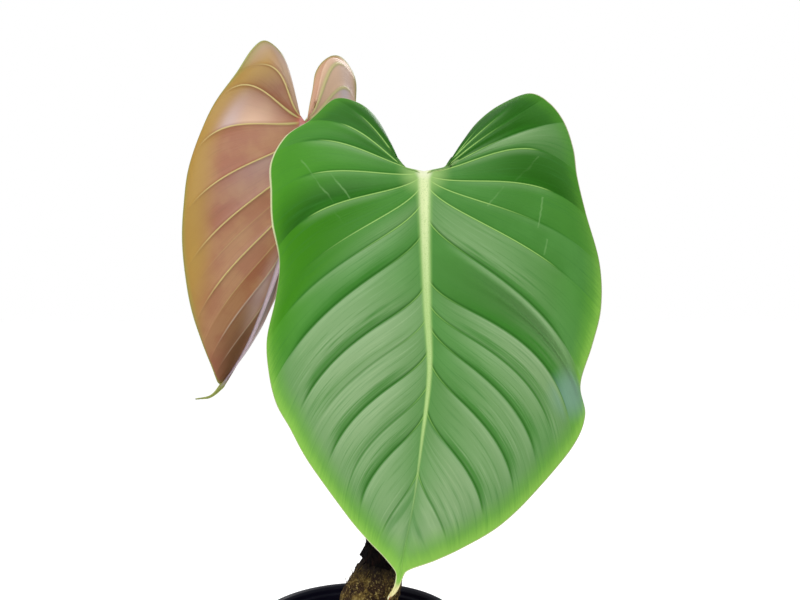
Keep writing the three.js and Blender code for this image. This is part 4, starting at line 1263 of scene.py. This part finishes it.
def make_petiole(name, route, material, slot):
    """A round stalk along a route, whose rounded end lies in the back of its leaf."""
    bm = bmesh.new()
    bm.verts.layers.float_vector.new("tube")
    points = even_points(route, PETIOLE_STEPS)
    add_tube(bm, points, PETIOLE_SIDES, petiole_radius, Vector((1, 0, 0)))
    bmesh.ops.recalc_face_normals(bm, faces=bm.faces)
    return finished_object(name, bm, [material], slot)


# The stem and the old sheath.


def copied_mesh(node, edge_length):
    """A merged copy of a frame node's mesh, remeshed with edges of an even length."""
    source = frame["nodes"][node]
    mesh = source.data.copy()
    bm = bmesh.new()
    bm.from_mesh(mesh)
    bm.transform(source.matrix_world)
    bmesh.ops.remove_doubles(bm, verts=bm.verts, dist=0.01 * MM)
    bm.to_mesh(mesh)
    bm.free()
    mesh.materials.clear()
    helper = bpy.data.objects.new("helper", mesh)
    bpy.context.scene.collection.objects.link(helper)
    remesh = helper.modifiers.new("even", "REMESH")
    remesh.mode = "VOXEL"
    remesh.voxel_size = edge_length
    bpy.context.view_layer.update()
    evaluated = helper.evaluated_get(bpy.context.evaluated_depsgraph_get())
    result = bmesh.new()
    result.from_mesh(evaluated.to_mesh())
    evaluated.to_mesh_clear()
    bpy.data.objects.remove(helper)
    bpy.data.meshes.remove(mesh)
    result.verts.layers.float_vector.new("tube")
    return result


def roughen(bm, height, sizes, seed):
    """Moves each vertex along its normal by noise of several sizes, in millimetres."""
    bm.normal_update()
    offset = Vector((seed, 2 * seed, 3 * seed))
    for vertex in bm.verts:
        place = vertex.co / MM
        lift = 0.0
        for size, share in sizes:
            lift += share * noise.noise(place / size + offset)
        vertex.co += vertex.normal * (height * lift)


def join(bm, other):
    """Adds another bmesh to a bmesh."""
    mesh = bpy.data.meshes.new("joined")
    other.to_mesh(mesh)
    other.free()
    bm.from_mesh(mesh)
    bpy.data.meshes.remove(mesh)


FIBRE_SIDES = 4
FIBRE_STEPS = 6


def add_fibre(bm, points, width, material_index):
    """A thin pointed fibre along a few points."""
    faces = add_tube(
        bm, points, FIBRE_SIDES, lambda round_it, along: 0.5 * width * (1.05 - along**2),
        Vector((0.6, 0.5, 0.3)),
    )
    for face in faces:
        face.material_index = material_index


def surface_spots(bm, count, draw):
    """Places on a bmesh with their normals, drawn at random, in millimetres."""
    bm.verts.ensure_lookup_table()
    bm.normal_update()
    picks = [bm.verts[draw.randrange(len(bm.verts))] for _ in range(count)]
    return [(vertex.co / MM, vertex.normal.copy()) for vertex in picks]


STEM_EDGE = 0.7 * MM
# Between which heights the scales lie, in millimetres.
SCALE_HEIGHTS = (105, 162)


def make_stem(bark, scale):
    """The bark of the stem, with short dry scales of old leaf bases that lie along it."""
    bm = copied_mesh("stem", STEM_EDGE)
    settings = bpy.context.scene.philodendron_stem
    roughen(bm, settings.bark_height, ((5.0, 0.9), (2.2, 0.7), (1.1, 0.5)), 3.7)
    draw = random.Random(29)
    scales = bmesh.new()
    scales.verts.layers.float_vector.new("tube")
    for place, normal in surface_spots(bm, settings.scales, draw):
        if not SCALE_HEIGHTS[0] <= place.z <= SCALE_HEIGHTS[1]:
            continue
        side = normal.cross(Vector((0.25, 0, 1))).normalized()
        rise = side.cross(normal)
        length = draw.uniform(3, 9)
        turn = draw.uniform(-0.7, 0.7)
        lift = draw.uniform(0.1, 0.25) * length
        points = []
        for step in range(FIBRE_STEPS):
            share = step / (FIBRE_STEPS - 1)
            along = rise * (length * share) + side * (turn * length * share)
            points.append(place - normal * 0.4 + along + normal * (lift * share**2))
        add_fibre(scales, points, draw.uniform(0.3, 0.7), 1)
    join(bm, scales)
    bmesh.ops.recalc_face_normals(bm, faces=bm.faces)
    return finished_object("stem_bark", bm, [bark, scale], "stem_bark")


SHEATH_MIDDLE = 20.2
SHEATH_EDGE = 0.6 * MM
SHEATH_LUMPS = 0.8 * MM
# How far the sheath reaches from its middle at these heights.
SHEATH_HEIGHTS = (163, 166, 170, 176, 187, 200)
SHEATH_RADII = (17.8, 16.9, 15.0, 13.0, 12.0, 11.2)
# Between which heights a fibre starts, and how long it is.
FIBRE_FEET = (164, 190)
FIBRE_LENGTHS = (7, 22)


def make_sheath(fibre):
    """The old sheath: a body of matted fibre, with loose fibres that stand off it."""
    bm = copied_mesh("old_sheath", SHEATH_EDGE)
    # It is drawn in a little, most of all at its foot, which lies close to the stem.
    for vertex in bm.verts:
        drawn_in = 0.05 + 0.07 * smoothstep(vertex.co.z, 0.175, 0.165)
        vertex.co.x = lerp(vertex.co.x, SHEATH_MIDDLE * MM, drawn_in)
        vertex.co.y = lerp(vertex.co.y, 0.0, drawn_in)
    roughen(bm, SHEATH_LUMPS, ((4.0, 0.8), (1.6, 0.9)), 8.1)
    draw = random.Random(17)
    fibres = bmesh.new()
    fibres.verts.layers.float_vector.new("tube")
    for _ in range(bpy.context.scene.philodendron_stem.fibres):
        angle = draw.uniform(0, 2 * math.pi)
        low = draw.uniform(*FIBRE_FEET)
        length = draw.uniform(*FIBRE_LENGTHS)
        outward = Vector((math.cos(angle), math.sin(angle), 0))
        side = Vector((-math.sin(angle), math.cos(angle), 0))
        lean = draw.uniform(-0.35, 0.35)
        loose = draw.uniform(0.0, 1.0) ** 5
        points = []
        for step in range(FIBRE_STEPS):
            share = step / (FIBRE_STEPS - 1)
            height = low + length * share
            radius = np.interp(height, SHEATH_HEIGHTS, SHEATH_RADII) + 0.3 + 5 * loose * share**2
            sideways = length * (lean * share + 0.12 * math.sin(5 * share + angle * 7))
            point = Vector((SHEATH_MIDDLE, 0, height)) + outward * radius + side * sideways
            points.append(point)
        add_fibre(fibres, points, draw.uniform(0.35, 0.9), 0)
    join(bm, fibres)
    bmesh.ops.recalc_face_normals(bm, faces=bm.faces)
    return finished_object("old_sheath_fibres", bm, [fibre], "dead_sheath")


# The pot and the potting mix.

RIM_RADIUS = 76.0
POT_HEIGHT = 123.0
BASE_RADIUS = 56.0
BELLY_RADIUS = 68.5
WALL = 1.6
COLLAR_BOTTOM = 106.0
COLLAR_RADIUS = 72.0
STEP_HEIGHT = 117.0
SOIL_TOP = 103.0
POT_PROFILE = (
    (0, 0), (BASE_RADIUS - 2, 0), (BASE_RADIUS, 2), (BELLY_RADIUS, COLLAR_BOTTOM),
    (COLLAR_RADIUS - 0.6, COLLAR_BOTTOM + 1.4), (COLLAR_RADIUS, POT_HEIGHT - 4.4),
    (RIM_RADIUS - 0.8, POT_HEIGHT - 3.6), (RIM_RADIUS, POT_HEIGHT - 2),
    (RIM_RADIUS - 0.7, POT_HEIGHT - 0.5), (RIM_RADIUS - 2.4, POT_HEIGHT),
    (RIM_RADIUS - 4.4, POT_HEIGHT - 1), (RIM_RADIUS - 5.4, POT_HEIGHT - 3),
    (RIM_RADIUS - 5.6, STEP_HEIGHT), (COLLAR_RADIUS - 2.4, STEP_HEIGHT - 1.6),
    (COLLAR_RADIUS - 2.8, COLLAR_BOTTOM + 3), (BELLY_RADIUS - WALL, COLLAR_BOTTOM + 0.6),
    (BASE_RADIUS - WALL, 3), (BASE_RADIUS - WALL - 1.6, WALL), (0, WALL),
)
DRAIN_HOLES = 6
DRAIN_RADIUS = 4.5
DRAIN_CIRCLE = 42.0
DRILL_LENGTH = 10.0


def turned(profile, sides, rounding):
    """A profile of radius and height turned round the Z axis, with its corners rounded."""
    bm = bmesh.new()
    vertices = [bm.verts.new((radius * MM, 0, height * MM)) for radius, height in profile]
    for start, end in zip(vertices, vertices[1:]):
        bm.edges.new((start, end))
    if rounding:
        bmesh.ops.bevel(
            bm, geom=vertices[1:-1], offset=rounding * MM, offset_type="OFFSET",
            affect="VERTICES", segments=3, profile=0.5, material=-1,
        )
    bmesh.ops.spin(
        bm, geom=bm.verts[:] + bm.edges[:], cent=(0, 0, 0), axis=(0, 0, 1),
        angle=2 * math.pi, steps=sides, use_merge=True,
    )
    bmesh.ops.remove_doubles(bm, verts=bm.verts, dist=0.01 * MM)
    bmesh.ops.recalc_face_normals(bm, faces=bm.faces)
    return bm


def make_pot(material):
    """The pot, turned from its profile, with drain holes cut through its base."""
    settings = bpy.context.scene.philodendron_pot
    bm = turned(POT_PROFILE, settings.sides, 0.35)
    piece = finished_object("nursery_pot", bm, [material], "pot_plastic")
    drills = bmesh.new()
    for hole in range(DRAIN_HOLES):
        angle = 2 * math.pi * hole / DRAIN_HOLES
        place = Vector((DRAIN_CIRCLE * math.cos(angle), DRAIN_CIRCLE * math.sin(angle), 0)) * MM
        bmesh.ops.create_cone(
            drills, cap_ends=True, segments=32, radius1=DRAIN_RADIUS * MM,
            radius2=DRAIN_RADIUS * MM, depth=DRILL_LENGTH * MM, matrix=Matrix.Translation(place),
        )
    drill_mesh = bpy.data.meshes.new("drills")
    drills.to_mesh(drill_mesh)
    drills.free()
    drill = bpy.data.objects.new("drills", drill_mesh)
    bpy.context.scene.collection.objects.link(drill)
    cut = piece.modifiers.new("drain_holes", "BOOLEAN")
    cut.operation = "DIFFERENCE"
    cut.solver = "EXACT"
    cut.object = drill
    bpy.context.view_layer.update()
    evaluated = piece.evaluated_get(bpy.context.evaluated_depsgraph_get())
    cut_mesh = bpy.data.meshes.new_from_object(evaluated)
    piece.modifiers.clear()
    piece.data = cut_mesh
    cut_mesh.set_sharp_from_angle(angle=math.radians(50))
    bpy.data.objects.remove(drill)
    return piece


SOIL_RADIUS = 66.3
SOIL_RINGS = 34
SOIL_SIDES = 128
SOIL_FOOT = ((0, 2), (51.4, 2), (54.2, 5), (64.8, SOIL_TOP - 8))
CHIP_CIRCLE = 62
PERLITE_EVERY = 9


def soil_height(x, y):
    """How high the bed of the potting mix is at a place, in millimetres."""
    broad = math.sin(x * 0.11 + 1.3) * math.cos(y * 0.13 - 0.4)
    fine = math.sin(x * 0.33 - y * 0.21) * math.cos(y * 0.37 + x * 0.12 + 2)
    return SOIL_TOP + 1.8 * (0.7 * broad + 0.6 * fine)


def make_soil(mix, chip, perlite):
    """The potting mix: a lumpy bed with bark chips and grains of perlite lying on it."""
    top = [(SOIL_RADIUS * ring / SOIL_RINGS, SOIL_TOP) for ring in range(SOIL_RINGS, -1, -1)]
    bm = turned([*SOIL_FOOT, *top], SOIL_SIDES, 0)
    for vertex in bm.verts:
        x, y, z = vertex.co / MM
        if z < SOIL_TOP - 1:
            continue
        lump = 1.2 * noise.noise(Vector((x, y, 0)) / 4) + 0.8 * noise.noise(Vector((x, y, 9)) / 1.9)
        vertex.co.z = (soil_height(x, y) + lump) * MM
    draw = random.Random(5)
    settings = bpy.context.scene.philodendron_pot
    for index in range(settings.chips):
        radius = CHIP_CIRCLE * math.sqrt(draw.random())
        angle = draw.uniform(0, 2 * math.pi)
        x, y = radius * math.cos(angle), radius * math.sin(angle)
        white = index % PERLITE_EVERY == 0
        size = draw.uniform(1.0, 2.0) if white else draw.uniform(1.2, 3.6)
        flat = 0.9 if white else draw.uniform(0.3, 0.7)
        turn = Matrix.Rotation(draw.uniform(0, 6.3), 4, "Z") @ Matrix.Rotation(
            draw.uniform(-0.6, 0.6), 4, "X"
        )
        matrix = (
            Matrix.Translation(Vector((x, y, soil_height(x, y) + 0.2 * size)) * MM)
            @ turn
            @ Matrix.Diagonal((1.0, draw.uniform(0.5, 0.9), flat, 1.0))
        )
        stone = bmesh.ops.create_icosphere(bm, subdivisions=1, radius=size * MM, matrix=matrix)
        for vertex in stone["verts"]:
            vertex.co += Vector([draw.uniform(-0.22, 0.22) * size * MM for _ in range(3)])
        for face in {face for vertex in stone["verts"] for face in vertex.link_faces}:
            face.material_index = 2 if white else 1
            face.smooth = False
    return finished_object("potting_mix", bm, [mix, chip, perlite], "potting_mix")


# The stage.

CAMERA_PLACE = (0.0315, -0.573, 0.358)
CAMERA_LENS = 35.0
SENSOR_WIDTH = 36.0
FLOOR_HALF = 12
LIGHT_AIM = (0.02, 0, 0.32)
# Each light's name, place, size and power.
LIGHTS = (
    ("key_light", (-0.4, -1.25, 1.3), 1.1, 14.0),
    ("back_light", (0.6, 1.2, 1.4), 0.9, 9.0),
)


def make_camera(scene):
    """A level camera in front of the plant, at the height of its leaves."""
    data = bpy.data.cameras.new("camera")
    data.lens = CAMERA_LENS
    data.sensor_width = SENSOR_WIDTH
    data.clip_start = 0.01
    data.clip_end = 60
    camera = bpy.data.objects.new("camera", data)
    camera.location = CAMERA_PLACE
    camera.rotation_euler = (math.radians(90), 0, 0)
    scene.collection.objects.link(camera)
    scene.camera = camera


def make_floor(scene):
    """A pale floor, which glows a little for the camera alone, so that it looks white."""
    bm = bmesh.new()
    bmesh.ops.create_grid(bm, x_segments=4, y_segments=4, size=FLOOR_HALF)
    mesh = bpy.data.meshes.new("floor")
    bm.to_mesh(mesh)
    bm.free()
    floor = bpy.data.objects.new("floor", mesh)
    scene.collection.objects.link(floor)
    material, tree = new_material("pale_floor")
    seen = add_node(tree, "ShaderNodeLightPath", output="Is Camera Ray")
    glow = add_node(tree, "ShaderNodeMath", {0: seen, 1: 0.45}, operation="MULTIPLY")
    look = {
        "Base Color": paint("#fafafa"), "Roughness": 0.9, "Specular IOR Level": 0.1,
        "Emission Color": paint("#ffffff"), "Emission Strength": glow,
    }
    shader = add_node(tree, "ShaderNodeBsdfPrincipled", look)
    add_node(tree, "ShaderNodeOutputMaterial", {"Surface": shader})
    mesh.materials.append(material)


def make_light(scene):
    """A white room that is brighter above, and two large soft lights."""
    world = bpy.data.worlds.new("soft_light")
    scene.world = world
    world.use_nodes = True
    tree = world.node_tree
    tree.nodes.clear()
    way = add_node(tree, "ShaderNodeTexCoord", output="Generated")
    up = add_node(tree, "ShaderNodeSeparateXYZ", {0: way}, "Z")
    strength = add_node(
        tree, "ShaderNodeMapRange",
        {"Value": up, "From Min": 0.0, "From Max": 0.8, "To Min": 0.2, "To Max": 0.7},
        interpolation_type="SMOOTHSTEP",
    )
    seen = add_node(tree, "ShaderNodeLightPath", output="Is Camera Ray")
    mixed = add_node(tree, "ShaderNodeMix", {0: seen, 2: strength, 3: 1.0}, data_type="FLOAT")
    white = {"Color": (1, 1, 1, 1), "Strength": mixed}
    background = add_node(tree, "ShaderNodeBackground", white)
    add_node(tree, "ShaderNodeOutputWorld", {"Surface": background})
    for name, place, size, power in LIGHTS:
        data = bpy.data.lights.new(name, "AREA")
        data.shape = "SQUARE"
        data.size = size
        data.energy = power
        light = bpy.data.objects.new(name, data)
        light.location = place
        aim = Vector(LIGHT_AIM) - Vector(place)
        light.rotation_euler = aim.to_track_quat("-Z", "Y").to_euler()
        scene.collection.objects.link(light)


# Operators.


class MatureLeafOperator(bpy.types.Operator):
    """Makes the blade of the mature green leaf"""

    bl_idname = "philodendron.mature_leaf"
    bl_label = "Mature Leaf"

    def execute(self, context):
        settings = context.scene.philodendron_mature_leaf
        margin = leaf_margin("leaf_margin", MATURE_LEAF, "#e4dfb4", "#c9cf92", "#4d7f2e")
        materials = [mature_upper_skin(), mature_under_skin(), margin]
        make_blade("mature_blade", MATURE_LEAF, settings, materials, "leaf_green")
        return {"FINISHED"}


class NewLeafOperator(bpy.types.Operator):
    """Makes the blade of the bronze new leaf"""

    bl_idname = "philodendron.new_leaf"
    bl_label = "New Leaf"

    def execute(self, context):
        settings = context.scene.philodendron_new_leaf
        margin = leaf_margin("new_leaf_margin", NEW_LEAF, "#a9b464", "#8f9a48", "#c3b795")
        materials = [new_upper_skin(), new_under_skin(), margin]
        make_blade("new_blade", NEW_LEAF, settings, materials, "leaf_bronze")
        return {"FINISHED"}


class PetiolesOperator(bpy.types.Operator):
    """Makes the two leaf stalks"""

    bl_idname = "philodendron.petioles"
    bl_label = "Petioles"

    def execute(self, context):
        green = petiole_skin("petiole_skin_green", "#6d8540", "#93ad58", "#4c6a2c")
        bronze = petiole_skin("petiole_skin_bronze", "#7f7a3c", "#b5915a", "#6e5a30")
        make_petiole("green_petiole", MATURE_ROUTE, green, "petiole_green")
        make_petiole("bronze_petiole", NEW_ROUTE, bronze, "petiole_bronze")
        return {"FINISHED"}


class StemOperator(bpy.types.Operator):
    """Makes the bark of the stem and the fibres of the old sheath"""

    bl_idname = "philodendron.stem"
    bl_label = "Stem"

    def execute(self, context):
        make_stem(mossy_bark(), dead_fibre("dry_scale", "#5f4c22", "#a89255"))
        make_sheath(dead_fibre("dead_fibre", "#060304", "#22120e"))
        return {"FINISHED"}


class PotOperator(bpy.types.Operator):
    """Makes the nursery pot"""

    bl_idname = "philodendron.pot"
    bl_label = "Pot"

    def execute(self, context):
        make_pot(moulded_polypropylene())
        return {"FINISHED"}


class SoilOperator(bpy.types.Operator):
    """Makes the potting mix with its bark chips and perlite"""

    bl_idname = "philodendron.soil"
    bl_label = "Potting Mix"

    def execute(self, context):
        mix = plain_grains("peat", "#1d130d", "#3a281b", 0.95, 450.0)
        chip = plain_grains("bark_chips", "#4a2f1c", "#7a5233", 0.85, 300.0)
        perlite = plain_grains("perlite", "#cfcabd", "#efece2", 0.9, 500.0)
        make_soil(mix, chip, perlite)
        return {"FINISHED"}


class StageOperator(bpy.types.Operator):
    """Makes the floor, the soft light and the camera"""

    bl_idname = "philodendron.stage"
    bl_label = "Stage"

    def execute(self, context):
        context.scene.view_settings.view_transform = "Standard"
        make_camera(context.scene)
        make_floor(context.scene)
        make_light(context.scene)
        return {"FINISHED"}


OPERATORS = (
    StageOperator,
    MatureLeafOperator,
    NewLeafOperator,
    PetiolesOperator,
    StemOperator,
    PotOperator,
    SoilOperator,
)
SETTINGS = {
    "philodendron_mature_leaf": MatureLeafSettings,
    "philodendron_new_leaf": NewLeafSettings,
    "philodendron_stem": StemSettings,
    "philodendron_pot": PotSettings,
}


class PlantPanel(bpy.types.Panel):
    """Lists the plant's pieces and their settings"""

    bl_idname = "VIEW3D_PT_philodendron"
    bl_label = "Potted Philodendron"
    bl_space_type = "VIEW_3D"
    bl_region_type = "UI"
    bl_category = "Plant"

    def draw(self, context):
        for operator in OPERATORS:
            self.layout.operator(operator.bl_idname)
        for name in SETTINGS:
            box = self.layout.box()
            settings = getattr(context.scene, name)
            for prop in settings.bl_rna.properties:
                if not prop.is_readonly and prop.identifier != "name":
                    box.prop(settings, prop.identifier)


CLASSES = (*SETTINGS.values(), *OPERATORS, PlantPanel)


def register():
    for item in CLASSES:
        bpy.utils.register_class(item)
    for name, settings in SETTINGS.items():
        setattr(bpy.types.Scene, name, bpy.props.PointerProperty(type=settings))


def unregister():
    for name in SETTINGS:
        delattr(bpy.types.Scene, name)
    for item in reversed(CLASSES):
        bpy.utils.unregister_class(item)


def main():
    """Builds everything in order."""
    register()
    bpy.ops.philodendron.stage()
    bpy.ops.philodendron.mature_leaf()
    bpy.ops.philodendron.new_leaf()
    bpy.ops.philodendron.petioles()
    bpy.ops.philodendron.stem()
    bpy.ops.philodendron.pot()
    bpy.ops.philodendron.soil()


if __name__ == "__main__":
    main()
